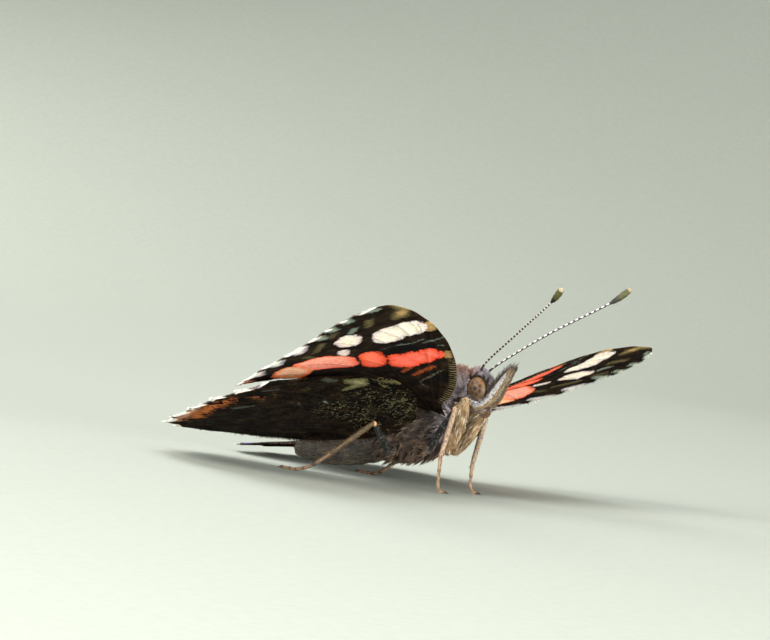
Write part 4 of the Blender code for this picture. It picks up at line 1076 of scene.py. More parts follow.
def lay_locks(tree, roots, outward, way, length, rise, droop=0.0):
    """The middle line of each lock: four points that leave the skin and follow it at a rising height."""
    way = unit(way - outward * (way * outward).sum(1, keepdims=True))
    lines = np.zeros((len(roots), 4, 3))
    for k, (along, height) in enumerate(((0.0, -0.08), (0.33, 0.5), (0.67, 0.85), (1.0, 1.0))):
        over = roots + way * (length * along)[:, None]
        for i, spot in enumerate(over):
            place, normal, *_ = tree.find_nearest(spot)
            lift = height * rise if height > 0 else height
            lines[i, k] = place + normal * lift
        lines[:, k, 2] -= droop * length * along ** 2
    return lines, way


def split_locks(lines, way, outward, hairs, radius, gather, stray):
    """Hairs round the middle line of each lock, drawn together at its tip."""
    count = len(lines)
    across = np.cross(way, outward)
    angle = dice.random((count, hairs, 1)) * math.tau
    reach = np.sqrt(dice.random((count, hairs, 1))) * radius
    offset = across[:, None] * np.cos(angle) * reach + way[:, None] * np.sin(angle) * reach
    along = np.linspace(0, 1, 4)[None, None, :, None]
    shorten = 1 - 0.35 * dice.random((count, hairs, 1, 1))
    first = lines[:, None, :1]
    hair_lines = first + (lines[:, None] - first) * shorten + offset[:, :, None] * (1 - gather * along)
    sway = across[:, None] * dice.normal(0, stray, (count, hairs, 1)) + outward[:, None] * dice.normal(
        0, stray * 0.5, (count, hairs, 1))
    bow = across * dice.normal(0, stray * 1.2, (count, 1))
    hair_lines = hair_lines + sway[:, :, None] * along ** 2 + bow[:, None, None] * np.sin(along * math.pi)
    return hair_lines.reshape(-1, 4, 3), np.repeat(outward, hairs, 0)


def new_coat(name, lines, outward, width, thickness, spots, material, **values):
    """Blades along the given lines as one piece; spots are their roots' places on the skin's unwrap."""
    count = len(lines)
    ahead = unit(np.diff(lines, axis=1))
    side = unit(np.cross(ahead, outward[:, None]))
    up = np.cross(side, ahead)
    width = np.broadcast_to(width, count)[:, None, None] / 2
    sizes = np.array(BLADE_RINGS)[None, :, None]
    middle = lines[:, :3]
    rings = np.stack([
        middle + up * thickness * sizes, middle + side * width * sizes, middle - side * width * sizes,
    ], 2).reshape(count, 9, 3)
    points = np.concatenate([rings, lines[:, 3:]], 1).reshape(-1, 3)
    pattern = [(0, 2, 1)]
    for low in (0, 3):
        for i in range(3):
            j = (i + 1) % 3
            pattern += [(low + i, low + j, low + 3 + j), (low + i, low + 3 + j, low + 3 + i)]
    pattern += [(6, 7, 9), (7, 8, 9), (8, 6, 9)]
    faces = (np.array(pattern)[None] + (np.arange(count) * BLADE_POINTS)[:, None, None]).reshape(-1, 3)
    coat = new_piece(name, points, faces, [material])
    patch = np.array([(x, y) for y in BLADE_SHARES[:3] for x in (0.5, 1.0, 0.0)] + [(0.5, 1.0)]) * MAP_PATCH
    store_map(coat, (fit_square(spots)[:, None] + patch - MAP_PATCH / 2).reshape(-1, 2))
    store(coat, "along", np.tile(np.repeat(BLADE_SHARES, (3, 3, 3, 1)), count))
    values.setdefault("tint", dice.random(count))
    for key, value in values.items():
        store(coat, key, np.repeat(value, BLADE_POINTS, 0))
    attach(coat, "root")
    return coat


def hair_material(name, colour_of, roughness=0.6, dark=0.45, pale=1.2, spread=0.55):
    """Hair darker at the root and paler at the tip, as painted shade and highlight; each one of its own tone.
    """
    material, shader = new_material(name, roughness, specular=0.25)
    tree = material.node_tree
    tint = attribute(tree, "tint")
    along = attribute(tree, "along")
    own_shade = math_node(tree, "MULTIPLY", tint, spread)
    # Painted light: dark at the root for the shade where hairs and scales cover one another, pale at the tip
    # for highlight, plus each hair's own tone
    painted_shade_and_tone = math_node(tree, "ADD", ramp(tree, along, 0.0, 1.0, dark, pale), own_shade)
    colour = colour_of(tree, tint, along)
    tree.links.new(vector_product(tree, colour, painted_shade_and_tone), shader.inputs["Base Color"])
    return material, shader


def coat_colour(tree, tint, along):
    return use_group(tree, body_colours, Place=attribute(tree, "place", "Vector"))["Colour"]


# dark and pale: how deep the painted root shade and how bright the painted tip highlight are
coat_hair, coat_shader = hair_material("coat_hair", coat_colour, dark=0.28, pale=1.15, spread=0.95)
coat_shader.inputs["Sheen Weight"].default_value = 0.06
coat_shader.inputs["Sheen Tint"].default_value = (0.92, 0.86, 0.88, 1)

wing_trees = []
for name, (form, side, *_) in WING_POSES.items():
    plan = wing_plans[name.split("_")[0]]
    wing_trees.append(BVHTree.FromPolygons(wing_place(name, plan["flat"]).tolist(), plan["faces"].tolist()))


def clear_of_wings(lines):
    """Whether each line stays on its own side of every wing."""
    clear = np.ones(len(lines), bool)
    for i, line in enumerate(lines):
        start, end = Vector(line[0]), Vector(line[-1])
        run = end - start
        far = run.length * 1.1
        if any(wing.ray_cast(start, run, far)[0] is not None for wing in wing_trees):
            clear[i] = False
    return clear


def zone_of(places):
    """0 for head, 1 collar, 2 thorax, 3 abdomen."""
    depths = np.stack([egg_depth(places, egg) for egg in (HEAD, COLLAR, THORAX)], 1)
    zone = depths.argmin(1)
    return np.where((depths[:, 2] > 1.03) & (places[:, 0] < -4.2), 3, zone)


def off_eyes(places):
    x, y, z = places.T
    return egg_depth(np.stack([x, np.abs(y), z], 1), EYE) > 1.12


def thorax_way(roots, outward):
    """Back along the thorax and down its sides, in slow waves and tousled tufts."""
    way = np.tile((-1.0, 0.0, -0.15), (len(roots), 1))
    way[:, 2] -= 1.1 * np.maximum(0, -outward[:, 2])
    way[:, 2] += 0.45 * np.sin(roots[:, 0] * 1.7 + roots[:, 2] * 1.3)
    way[:, 2] += 0.35 * np.sin(roots[:, 0] * 4.3 - roots[:, 2] * 3.1)
    return way


def collar_way(roots, outward):
    """Up and back over the shoulders, down at the throat."""
    return np.tile((-0.5, 0.0, 0.9), (len(roots), 1)) + np.outer(roots[:, 2] < 0.7, (0.2, 0, -1.9))


def crown_way(roots, outward):
    """Straight up between the eyes and down the face."""
    return np.tile((0.25, 0.0, 1.0), (len(roots), 1))


def abdomen_way(roots, outward):
    """Close along the rings to the tail."""
    return np.tile((-1.0, 0.0, -0.1), (len(roots), 1))


# In each coat, the locks' spacing, hairs, radius and length, how far their tips stand off the skin, a hair's
# width, and how far the hairs of a lock gather, stray, droop and are tousled
COATS = {
    "thorax_long_coat": dict(
        zone=2, way=thorax_way, slot="thorax_coat", spacing=0.40, hairs=12, radius=0.27, length=(1.0, 1.8),
        lift=0.46, width=0.105, gather=0.8, stray=0.11, droop=0.14, tousle=0.34,
    ),
    "thorax_short_coat": dict(
        zone=2, way=thorax_way, slot="thorax_coat", spacing=0.30, hairs=7, radius=0.22, length=(0.6, 1.0),
        lift=0.2, width=0.11, gather=0.5, stray=0.08, droop=0.03, tousle=0.25,
    ),
    "collar_hair": dict(
        zone=1, way=collar_way, slot="collar_coat", spacing=0.20, hairs=9, radius=0.18, length=(0.7, 1.3),
        lift=0.72, width=0.036, gather=0.22, stray=0.18, droop=0.0, tousle=0.36,
    ),
    "head_hair": dict(
        zone=0, way=crown_way, slot="head_coat", spacing=0.15, hairs=9, radius=0.13, length=(0.4, 0.95),
        lift=0.62, width=0.030, gather=0.15, stray=0.14, droop=0.0, tousle=0.36,
    ),
    "abdomen_hair": dict(
        zone=3, way=abdomen_way, slot="abdomen_coat", spacing=0.20, hairs=4, radius=0.14, length=(0.5, 0.8),
        lift=0.09, width=0.10, gather=0.15, stray=0.03, droop=0.0, tousle=0.12,
    ),
}
for name, coat in COATS.items():
    roots, outward = spread_roots(
        skin_points, skin_faces, coat["spacing"], lambda p: (zone_of(p) == coat["zone"]) & off_eyes(p),
    )
    way = coat["way"](roots, outward) + dice.normal(0, coat["tousle"], roots.shape)
    length = dice.uniform(*coat["length"], len(roots))
    lines, way = lay_locks(skin_tree, roots, outward, way, length, coat["lift"], coat["droop"])
    strands = (coat[part] for part in ("hairs", "radius", "gather", "stray"))
    lines, up = split_locks(lines, way, outward, *strands)
    keep = clear_of_wings(lines)
    lines, up = lines[keep], up[keep]
    places = lines[:, 0]
    spots = round_body(places)
    piece = new_coat(name, lines, up, coat["width"], HAIR_THICKNESS, spots, coat_hair, place=places)


# Eyes: domes of some six thousand clear facets each, set in the head. The near facets show a dark spot
# with paler ones round it, painted shade standing for the pseudopupil, which in life moves with the viewer;
# and a rim of pale scales closes the socket behind.
EYE_INSET = 0.03
EYE_SIDES = 72
EYE_ROWS = 48
EYE_SPOT = (0.02, -0.95, 0.06)
# Degrees from the spot's middle at which it begins and ends to fade
EYE_SPOT_EDGE = (8.58, 15.18)
EYE_PUPIL_SHADE_SPOTS = 7
# Degrees from the spot, size in degrees and strength of each ring of paler painted shade spots
EYE_PUPIL_SHADE_RINGS = ((31, 12.5, 0.72), (56, 9.5, 0.35))
EYE_FACETS_PER_MM = 16
EYE_RIM_WIDTH = 0.05
EYE_RIM_THICKNESS = 0.02
EYE_RIM_SCALES = 340
EYE_RIM_LENGTH = 0.17
# How far each part of a rim scale stands off the eye
EYE_RIM_LIFTS = ((0, -0.01), (0.4, 0.12), (0.75, 0.19), (1, 0.21))


eye_material, eye_shader = new_material("eye_glaze", roughness=0.42, specular=0.22)
tree = eye_material.node_tree
eye_place = attribute(tree, "eye_place", "Vector")
axes = add_node(tree, "ShaderNodeSeparateXYZ", {"Vector": eye_place})
colour = mix_colours(tree, ramp(tree, axes.outputs[2], -1.0, 0.9), (72, 60, 40), (118, 86, 54))
colour = mix_colours(tree, ramp(tree, noise_at(tree, eye_place, 3.5, 4), 0.42, 0.70), colour, (86, 64, 46))
# Painted shade: the pseudopupil's dark spot and the paler ones round it, fixed in the colour
colour = mix_colours(tree, ramp(tree, attribute(tree, "painted_pupil_shade"), 0.0, 1.0), colour, (7, 5, 4))
facets = add_node(
    tree, "ShaderNodeTexVoronoi", {"Vector": eye_place, "Scale": EYE_FACETS_PER_MM, "Randomness": 0.15},
)
facet_edge = ramp(tree, facets.outputs["Distance"], 0.30, 0.62)
colour = mix_colours(tree, math_node(tree, "MULTIPLY", facet_edge, 0.35), colour, (58, 38, 24))
tree.links.new(colour, eye_shader.inputs["Base Color"])
eye_shader.inputs["Coat Weight"].default_value = 0.12
eye_shader.inputs["Coat Roughness"].default_value = 0.10
dome = math_node(tree, "SUBTRACT", 1.0, facets.outputs["Distance"])
set_bump(tree, eye_shader, dome, 0.03, strength=0.5)

for side in (RIGHT, LEFT):
    centre, half, pitch = EYE
    centre = np.array(centre) * (1, side, 1)
    points, faces, spots = egg_shell((centre, half, pitch), -EYE_INSET, EYE_SIDES, EYE_ROWS)
    local = (points - centre) @ egg_turn(pitch) * (1, side, 1)
    eye = new_piece(f"eye_dome_{HANDS[side]}", points, faces, [eye_material])
    store_map(eye, inside_edge(spots))
    store(eye, "eye_place", local)
    # The painted pupil shade faces out from each eye, towards the camera on the near one
    spot = unit(np.array(EYE_SPOT) * (1, -1, 1))
    facing = unit(local / half)
    spread = np.degrees(np.arccos(np.clip(facing @ spot, -1, 1)))
    painted_pupil_shade = np.interp(spread, EYE_SPOT_EDGE, (1, 0))
    around = np.cross(spot, (0, 0, 1.0))
    above = np.cross(spot, around)
    for ring, size, strength in EYE_PUPIL_SHADE_RINGS:
        for k in range(EYE_PUPIL_SHADE_SPOTS):
            turn_by = math.tau * (k + ring / 50) / EYE_PUPIL_SHADE_SPOTS
            way = around * math.cos(turn_by) + above * math.sin(turn_by)
            middle = spot * math.cos(math.radians(ring)) + way * math.sin(math.radians(ring))
            near = np.degrees(np.arccos(np.clip(facing @ middle, -1, 1)))
            painted_pupil_shade = np.maximum(painted_pupil_shade, strength * np.clip(1.4 - near / size, 0, 1))
    store(eye, "painted_pupil_shade", painted_pupil_shade)
    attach(eye, "root")
    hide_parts(f"eye_{HANDS[side]}")


def rim_colour(tree, tint, along):
    pale = mix_colours(tree, ramp(tree, tint, 0.35, 0.45), (86, 78, 76), (216, 220, 226))
    return mix_colours(tree, attribute(tree, "behind"), (46, 36, 30), pale)


rim_material, _ = hair_material("eye_rim_scales", rim_colour)
for side in (RIGHT, LEFT):
    centre, half, pitch = EYE
    angle = np.sort(dice.random(EYE_RIM_SCALES)) * math.tau
    circle = np.stack([np.cos(angle), np.ones(len(angle)), np.sin(angle)], 1)
    ring = circle * (half[0] * 0.99, 0.06, half[2] * 0.99)
    ring = ring + dice.normal(0, 0.02, ring.shape)
    outward = unit(circle / (half[0], 2, half[2]))
    way = unit(circle * (-0.3, 1, -0.3))
    way += dice.normal(0, 0.18, way.shape)
    turn_back = egg_turn(pitch).T
    lines = []
    for along, lift in EYE_RIM_LIFTS:
        lines.append(ring + way * EYE_RIM_LENGTH * along + outward * lift)
    lines = np.stack(lines, 1) @ turn_back + centre
    outward = outward @ turn_back
    lines[:, :, 1] *= side
    outward[:, 1] *= side
    spots = np.stack([angle / math.tau, dice.random(len(angle))], 1)
    behind = ((np.cos(angle) < 0.35) & (np.sin(angle) < 0.75)).astype(float)
    rim = new_coat(
        f"eye_rim_{HANDS[side]}", lines, outward, EYE_RIM_WIDTH, EYE_RIM_THICKNESS, spots, rim_material,
        behind=behind,
    )


# Palps: the two scaly feelers of the mouth, held up past the face like a beak. Each is a flat horny blade
# with white scales outside, a tan keel in front and dark bristles along its upper edge and tip.
PALP_STATIONS = [
    (3.00, 0.80, 1.45, 0.24, 0.40), (3.75, 0.86, 1.20, 0.25, 0.56), (4.75, 0.76, 1.95, 0.25, 0.68),
    (5.55, 0.62, 3.35, 0.23, 0.52), (6.20, 0.50, 4.55, 0.20, 0.32), (6.60, 0.44, 5.10, 0.14, 0.17),
]
PALP_SCALE_SPACING = 0.075
PALP_SCALE_LENGTHS = (0.16, 0.32)
PALP_SCALE_WIDTH = 0.062
PALP_SCALE_THICKNESS = 0.018
BRISTLE_EXTRA = 0.30
PALP_SIDES = 28
PALP_SPANS = 9


def mirrored_stations(stations, side):
    return [(x, side * y, z, *sizes) for x, y, z, *sizes in stations]


def round_limb(sides, spans, count):
    """How far round a limb each of its points is, and how far along it."""
    rows = (count - 1) * spans + 1
    around = np.append(np.tile(np.arange(sides) / sides, rows), (0, 0))
    along = np.append(np.repeat(np.arange(rows) / (rows - 1), sides), (0, 1))
    return around, along


def palp_colours_group():
    """Colour at a height over the palp's keel, from 0 in front to 1 at its back, and along it."""
    group, inputs, outputs = new_group(
        "palp_colours", {"Height": "Float", "Along": "Float", "Tint": "Float"}, {"Colour": "Color"},
    )
    tint, along = inputs["Tint"], inputs["Along"]
    ragged = math_node(group, "ADD", inputs["Height"], math_node(group, "MULTIPLY_ADD", tint, 0.12, -0.06))
    tan = mix_colours(group, tint, (80, 66, 46), (130, 110, 82))
    white = mix_colours(group, tint, (114, 112, 111), (160, 158, 157))
    dark = mix_colours(group, tint, (36, 30, 28), (84, 72, 66))
    ends = product(group, ramp(group, along, 0.82, 0.72), ramp(group, along, 0.0, 0.10))
    colour = mix_colours(group, product(group, ramp(group, ragged, 0.22, 0.30), ends), tan, white)
    white_end = ramp(group, along, 0.22, 0.46, 1.05, 0.60)
    over_white = math_node(group, "SUBTRACT", ragged, white_end)
    colour = mix_colours(group, ramp(group, over_white, -0.03, 0.05), colour, dark)
    tipped = math_node(group, "MULTIPLY_ADD", tint, 0.05, along)
    colour = mix_colours(group, ramp(group, tipped, 0.88, 0.95), colour, dark)
    group.links.new(colour, outputs["Colour"])
    return group


palp_colours = palp_colours_group()


def palp_colour(tree, tint, along):
    height, run = attribute(tree, "palp_height"), attribute(tree, "palp_along")
    return use_group(tree, palp_colours, Height=height, Along=run, Tint=tint)["Colour"]


palp_skin, _ = hair_material("palp_skin", palp_colour, roughness=0.7)
palp_hair, _ = hair_material("palp_scales", palp_colour, roughness=0.7)
for side in (RIGHT, LEFT):
    stations = mirrored_stations(PALP_STATIONS, side)
    points, faces, spots = limb(stations, PALP_SIDES, PALP_SPANS)
    around, along = round_limb(PALP_SIDES, PALP_SPANS, len(stations))
    height = 0.5 + 0.5 * np.sin(around * math.tau)
    palp = new_piece(f"palp_blade_{HANDS[side]}", points, faces, [palp_skin])
    store_map(palp, inside_edge(spots))
    store(palp, "palp_height", height)
    store(palp, "palp_along", along)
    # A fixed share along the blade, which sets the palp skin's painted shade
    store(palp, "along", np.full(len(points), 0.4))
    store(palp, "tint", dice.random(len(points)))
    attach(palp, "root")
    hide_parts(f"palp_{HANDS[side]}")

    roots, outward = spread_roots(points, faces, PALP_SCALE_SPACING, lambda p: p[:, 0] > 3.2)
    palp_tree = near_tree(points)
    nearest = np.array([palp_tree.find(root)[1] for root in roots])
    rise_way = unit(np.gradient(smooth_curve(stations, PALP_SPANS)[:, :3], axis=0))
    row = np.clip((along[nearest] * (len(rise_way) - 1)).astype(int), 0, len(rise_way) - 1)
    way = rise_way[row] + dice.normal(0, 0.10, roots.shape)
    bristly = np.clip((height[nearest] - 0.62) / 0.2, 0, 1) * (along[nearest] > 0.3)
    reach = dice.uniform(*PALP_SCALE_LENGTHS, len(roots)) + BRISTLE_EXTRA * bristly * dice.random(len(roots))
    lean = 0.05 + 0.55 * bristly
    lines = np.stack([
        roots + way * (reach * t)[:, None] + outward * (reach * lean * h + 0.02 * h - 0.02)[:, None]
        for t, h in zip(BLADE_SHARES, (0, 0.6, 0.9, 1))
    ], 1)
    across = PALP_SCALE_WIDTH - 0.02 * bristly
    spots = np.stack([around[nearest], along[nearest]], 1)
    scales = new_coat(
        f"palp_scales_{HANDS[side]}", lines, outward, across, PALP_SCALE_THICKNESS, spots, palp_hair,
        palp_height=height[nearest], palp_along=along[nearest],
    )


# Tongue: a hollow ribbed tube, wound up between the palps like a watch spring when it isn't drinking.
TONGUE_CENTRE = (4.30, 0.0, 0.62)
TONGUE_TURNS = 2.6
TONGUE_OUTER = 0.66
TONGUE_INNER = 0.16
TONGUE_ROOT = (3.9, 0.0, 1.5)
TONGUE_START = 118
TONGUE_STEPS = 130
TONGUE_SIDES = 16
TONGUE_RIB_ANGLE = 190.0

turns = np.linspace(0, 1, TONGUE_STEPS)
angle = math.radians(TONGUE_START) - turns * TONGUE_TURNS * math.tau
radius = TONGUE_OUTER + (TONGUE_INNER - TONGUE_OUTER) * turns
coil = np.stack([np.cos(angle), np.zeros(len(turns)), np.sin(angle)], 1) * radius[:, None] + TONGUE_CENTRE
bend = (coil[0] + TONGUE_ROOT) / 2 + (0.05, 0, 0.02)
path = np.vstack([smooth_curve([TONGUE_ROOT, bend, coil[0]], 6)[:-1], coil])
thick = np.linspace(0.125, 0.075, len(path)) * (1 + 0.06 * np.cos(np.arange(len(path)) * math.pi))
tongue_shell = limb(np.column_stack([path, thick, thick]), TONGUE_SIDES, 1)
tongue_material, tongue_shader = new_material("tongue_horn", roughness=0.38, specular=0.5)
tree = tongue_material.node_tree
run = attribute(tree, "tongue_run", "Vector")
axes = add_node(tree, "ShaderNodeSeparateXYZ", {"Vector": run})
ribs = math_node(tree, "SINE", math_node(tree, "MULTIPLY", axes.outputs[0], TONGUE_RIB_ANGLE))
ribbed = math_node(tree, "MULTIPLY_ADD", ribs, 0.5, 0.5)
edge = ramp(tree, math_node(tree, "ABSOLUTE", axes.outputs[1]), 0.35, 0.9)
colour = mix_colours(tree, ribbed, (44, 31, 20), (82, 60, 40))
colour = mix_colours(tree, edge, (130, 98, 64), colour)
tree.links.new(colour, tongue_shader.inputs["Base Color"])
set_bump(tree, tongue_shader, ribbed, 0.02)
tongue = new_piece("tongue_coil", tongue_shell[0], tongue_shell[1], [tongue_material])
around, along = round_limb(TONGUE_SIDES, 1, len(path))
store(tongue, "tongue_run", np.column_stack([along, np.cos(around * math.tau), np.sin(around * math.tau)]))
store_map(tongue, inside_edge(tongue_shell[2]))
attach(tongue, "root")
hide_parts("tongue")


# Feelers: thin shafts of about thirty horny joints, each black with a white ring of scales at its foot,
# growing into a knob of close dark joints with an olive back and a pale bare tip.
FEELER_ROOT = (3.5, 0.5, 3.85)
FEELERS = {
    RIGHT: [(4.1, 1.0, 5.2), (7.95, 3.3, 8.62), (11.75, 6.1, 11.75), (13.05, 7.06, 13.22)],
    LEFT: [(4.5, 1.2, 5.2), (8.05, 4.0, 8.75), (12.1, 7.8, 12.35), (13.7, 8.87, 14.08)],
}
FEELER_RADIUS = 0.092
KNOB_RADIUS = 0.33
JOINT_LENGTHS = {RIGHT: 0.47, LEFT: 0.58}
FEELER_SIDES = 18
# Shares of the knob's length, and its width at each
KNOB_PROFILE = ((0, 0.12, 0.35, 0.65, 0.88, 0.96, 1.0), (0, 0.35, 0.8, 1.0, 0.86, 0.6, 0.25))
# The white part of each joint at the middle and at the knob, and whether it goes all round
WHITE_RINGS = {RIGHT: (0.34, 0.60, 1.0), LEFT: (0.52, 0.52, 0.0)}


def path_lengths(points):
    return np.append(0, np.cumsum(np.linalg.norm(np.diff(points, axis=0), axis=1)))


def even_path(points, step):
    """A smooth path through the points, in steps of even length."""
    fine = smooth_curve(points, 40)
    run = path_lengths(fine)
    stations = np.linspace(0, run[-1], round(run[-1] / step) + 1)
    return np.stack([np.interp(stations, run, fine[:, k]) for k in range(3)], 1), stations


feeler_material, feeler_shader = new_material("feeler_joints", roughness=0.5, specular=0.35)
tree = feeler_material.node_tree
run = attribute(tree, "feeler_run", "Vector")
axes = add_node(tree, "ShaderNodeSeparateXYZ", {"Vector": run})
joint_share = math_node(tree, "FRACT", axes.outputs[0])
speckle = noise_at(tree, run, 7, 2)
scaled = math_node(tree, "ADD", joint_share, math_node(tree, "MULTIPLY_ADD", speckle, 0.3, -0.15))
ringed = ramp(tree, math_node(tree, "SUBTRACT", scaled, attribute(tree, "ring")), 0.05, -0.05)
above = ramp(tree, axes.outputs[2], -0.50, -0.15)
white = math_node(tree, "MULTIPLY", ringed, math_node(tree, "MAXIMUM", above, attribute(tree, "all_round")))
shaft = mix_colours(tree, white, (20, 15, 14), (198, 190, 186))
knobbed = axes.outputs[1]
knob = mix_colours(tree, ramp(tree, knobbed, 0.25, 0.60), (18, 14, 8), (60, 60, 24))
knob = mix_colours(tree, ramp(tree, knobbed, 0.84, 0.96), knob, (150, 134, 108))
knob = mix_colours(tree, ramp(tree, joint_share, 0.85, 1.0, 0.0, 0.35), knob, (30, 24, 14))
colour = mix_colours(tree, ramp(tree, knobbed, 0.02, 0.06), shaft, knob)
tree.links.new(colour, feeler_shader.inputs["Base Color"])
set_bump(tree, feeler_shader, speckle, 0.02)

for side in (RIGHT, LEFT):
    joint_length = JOINT_LENGTHS[side]
    bends = [np.array(point) * (1, side, 1) for point in (FEELER_ROOT, *FEELERS[side])]
    path, stations = even_path(bends, joint_length / 10)
    neck = stations[-1] - np.linalg.norm(bends[-1] - bends[-2])
    knob_share = np.clip((stations - neck) / (stations[-1] - neck), 0, 1)
    taper = np.interp(knob_share, *KNOB_PROFILE)
    share = stations / joint_length % 1
    bulge = 0.95 + 0.16 * np.sin(share * math.pi) ** 2 * (1 - knob_share * 0.7)
    foot = np.interp(stations, (0, 0.5, 0.9), (1.5, 1.3, 1.0))
    radius = (FEELER_RADIUS * foot + (KNOB_RADIUS - FEELER_RADIUS) * taper) * bulge
    radius[-3:] *= (0.95, 0.8, 0.55)
    shell = limb(np.column_stack([path, radius, radius]), sides=FEELER_SIDES, spans=1)
    around, along = round_limb(FEELER_SIDES, 1, len(path))
    row = np.round(along * (len(path) - 1)).astype(int)
    feeler = new_piece(f"feeler_shaft_{HANDS[side]}", shell[0], shell[1], [feeler_material])
    store(feeler, "feeler_run", np.column_stack([
        stations[row] / joint_length, knob_share[row], np.sin(around * math.tau),
    ]))
    ring, last_ring, all_round = WHITE_RINGS[side]
    rings = np.interp(along, (0, 0.05, 0.09, 0.4, 1), (-0.3, -0.3, ring, ring, last_ring))
    store(feeler, "ring", rings)
    store(feeler, "all_round", np.full(len(shell[0]), all_round))
    store_map(feeler, inside_edge(shell[2]))
    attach(feeler, "root")
    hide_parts(f"feeler_{HANDS[side]}", f"feeler_knob_{HANDS[side]}")


# Brush legs: the small forelegs, useless for walking, folded against the breast. Each is a slim horny
# shin hung with long straw-coloured hair.
BRUSH_LEGS = {
    RIGHT: {
        "femur": [(1.7, 0.8, 0.9, 0.24, 0.3), (2.45, 1.45, 0.85, 0.24, 0.28), (3.0, 1.71, 1.62, 0.2, 0.22)],
        "brush": [(3.02, 1.72, 1.65, 0.2, 0.24), (2.85, 1.62, 0.4, 0.2, 0.34), (2.45, 1.5, -1.6, 0.2, 0.42),
                  (2.0, 1.42, -3.0, 0.18, 0.32), (1.7, 1.38, -3.85, 0.1, 0.14)],
    },
    LEFT: {
        "femur": [(1.7, 0.75, 0.9, 0.24, 0.3), (2.9, 1.15, 0.2, 0.24, 0.3), (3.9, 1.35, 0.6, 0.2, 0.24)],
        "brush": [(3.95, 1.35, 0.6, 0.2, 0.28), (3.15, 1.25, -0.6, 0.22, 0.5), (2.6, 1.15, -1.9, 0.22, 0.5),
                  (1.9, 1.05, -3.1, 0.18, 0.36), (1.35, 1.0, -4.0, 0.1, 0.14)],
    },
}
BRUSH_LOCK_SPACING = 0.15
BRUSH_LOCK = dict(hairs=9, radius=0.14, gather=0.3, stray=0.07)
BRUSH_HAIR_LENGTHS = (1.0, 1.8)
BRUSH_HAIR_WIDTH = 0.045
BRUSH_HAIR_THICKNESS = 0.025


def brush_colour(tree, tint, along):
    noise = noise_at(tree, attribute(tree, "place", "Vector"), 1.1, 4)
    colour = mix_colours(tree, ramp(tree, noise, 0.40, 0.62), (142, 116, 84), (194, 166, 127))
    return mix_colours(tree, ramp(tree, tint, 0.90, 0.95), colour, (226, 216, 200))


# dark and pale: how deep the painted root shade and how bright the painted tip highlight are
brush_hair, _ = hair_material("brush_hair", brush_colour, dark=0.6, pale=1.0, spread=0.45)
for side in (RIGHT, LEFT):
    parts = [
        limb(mirrored_stations(BRUSH_LEGS[side][part], side), 16, 6) for part in ("femur", "brush")
    ]
    points, faces, spots = join_shells(parts)
    leg = new_piece(f"brush_leg_{HANDS[side]}", points, faces, [brush_hair])
    store_map(leg, spots)
    store(leg, "place", points)
    # A fixed share along the blade, which sets the leg skin's painted shade
    store(leg, "along", np.full(len(points), 0.3))
    store(leg, "tint", dice.random(len(points)) * 0.8)
    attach(leg, "root")
    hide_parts(f"foreleg_femur_{HANDS[side]}", f"foreleg_brush_{HANDS[side]}")

    leg_tree = BVHTree.FromPolygons(points.tolist(), faces.tolist())
    roots, outward = spread_roots(points, faces, BRUSH_LOCK_SPACING, lambda p: p[:, 2] > -3.6)
    line = smooth_curve(mirrored_stations(BRUSH_LEGS[side]["brush"], side), 6)[:, :3]
    down = unit(np.gradient(line, axis=0))
    nearest = np.linalg.norm(roots[:, None] - line[None], axis=2).argmin(1)
    way = down[nearest] + dice.normal(0, 0.07, roots.shape)
    length = np.minimum(dice.uniform(*BRUSH_HAIR_LENGTHS, len(roots)), roots[:, 2] + 4.15)
    lines, way = lay_locks(leg_tree, roots, outward, way, length, 0.17)
    lines, up = split_locks(lines, way, outward, **BRUSH_LOCK)
    places = lines[:, 0]
    hair = new_coat(
        f"brush_hair_{HANDS[side]}", lines, up, BRUSH_HAIR_WIDTH, BRUSH_HAIR_THICKNESS, places[:, [0, 2]],
        brush_hair, place=places,
    )


# Walking legs: horny tubes covered with flat scales, a dark thigh, a straw-coloured shin with fine spines
# and two spurs, and a foot of five short joints with a pair of claws.
WALKING_LEGS = {
    "mid_right": {
        "side": RIGHT, "hip": (-0.15, 1.95, -4.05), "knee": (2.83, 3.6, 0.62), "ankle": (2.05, 3.6, -4.16),
        "foot": [(2.12, 3.55, -5.6), (2.2, 3.5, -6.8), (2.45, 3.5, -7.25), (2.95, 3.5, -7.3)],
    },
    "mid_left": {
        "side": LEFT, "hip": (0.0, 1.95, -4.05), "knee": (3.12, 3.5, 0.1), "ankle": (2.42, 3.45, -4.75),
        "foot": [(2.5, 3.4, -6.0), (2.62, 3.4, -6.85), (2.9, 3.4, -7.26), (3.4, 3.4, -7.3)],
    },
    "hind_right": {
        "side": RIGHT, "hip": (-3.75, 2.15, -4.75), "knee": (-3.7, 7.0, -1.85), "ankle": (-7.4, 7.5, -5.35),
        "foot": [(-9.0, 7.9, -6.75), (-10.1, 8.05, -7.22), (-11.1, 8.15, -7.3), (-12.0, 8.2, -7.3)],
    },
    "hind_left": {
        "side": LEFT, "hip": (-3.75, 2.15, -4.75), "knee": (-4.0, 6.4, -3.2), "ankle": (-6.3, 4.5, -6.1),
        "foot": [(-7.5, 4.7, -7.05), (-8.4, 4.9, -7.28), (-9.3, 5.1, -7.3), (-10.2, 5.3, -7.3)],
    },
}
FEMUR_RADII = (0.28, 0.37, 0.34, 0.28, 0.20)
TIBIA_RADII = (0.19, 0.25, 0.25, 0.23, 0.19)
FOOT_JOINTS = (0.40, 0.19, 0.14, 0.11, 0.16)
FOOT_RADIUS = 0.17
LEG_SIDES = 16
SHIN_SPINES = 54
SPINE_LENGTH = 0.42
SPINE_WIDTH = 0.055
SPINE_THICKNESS = 0.03
SPINE_TURN = 2.4
SPUR_LENGTH = 0.75
SPUR_WIDTH = 0.10
CLAW_LENGTH = 0.42
CLAW_RADII = (0.07, 0.06, 0.04, 0.012)


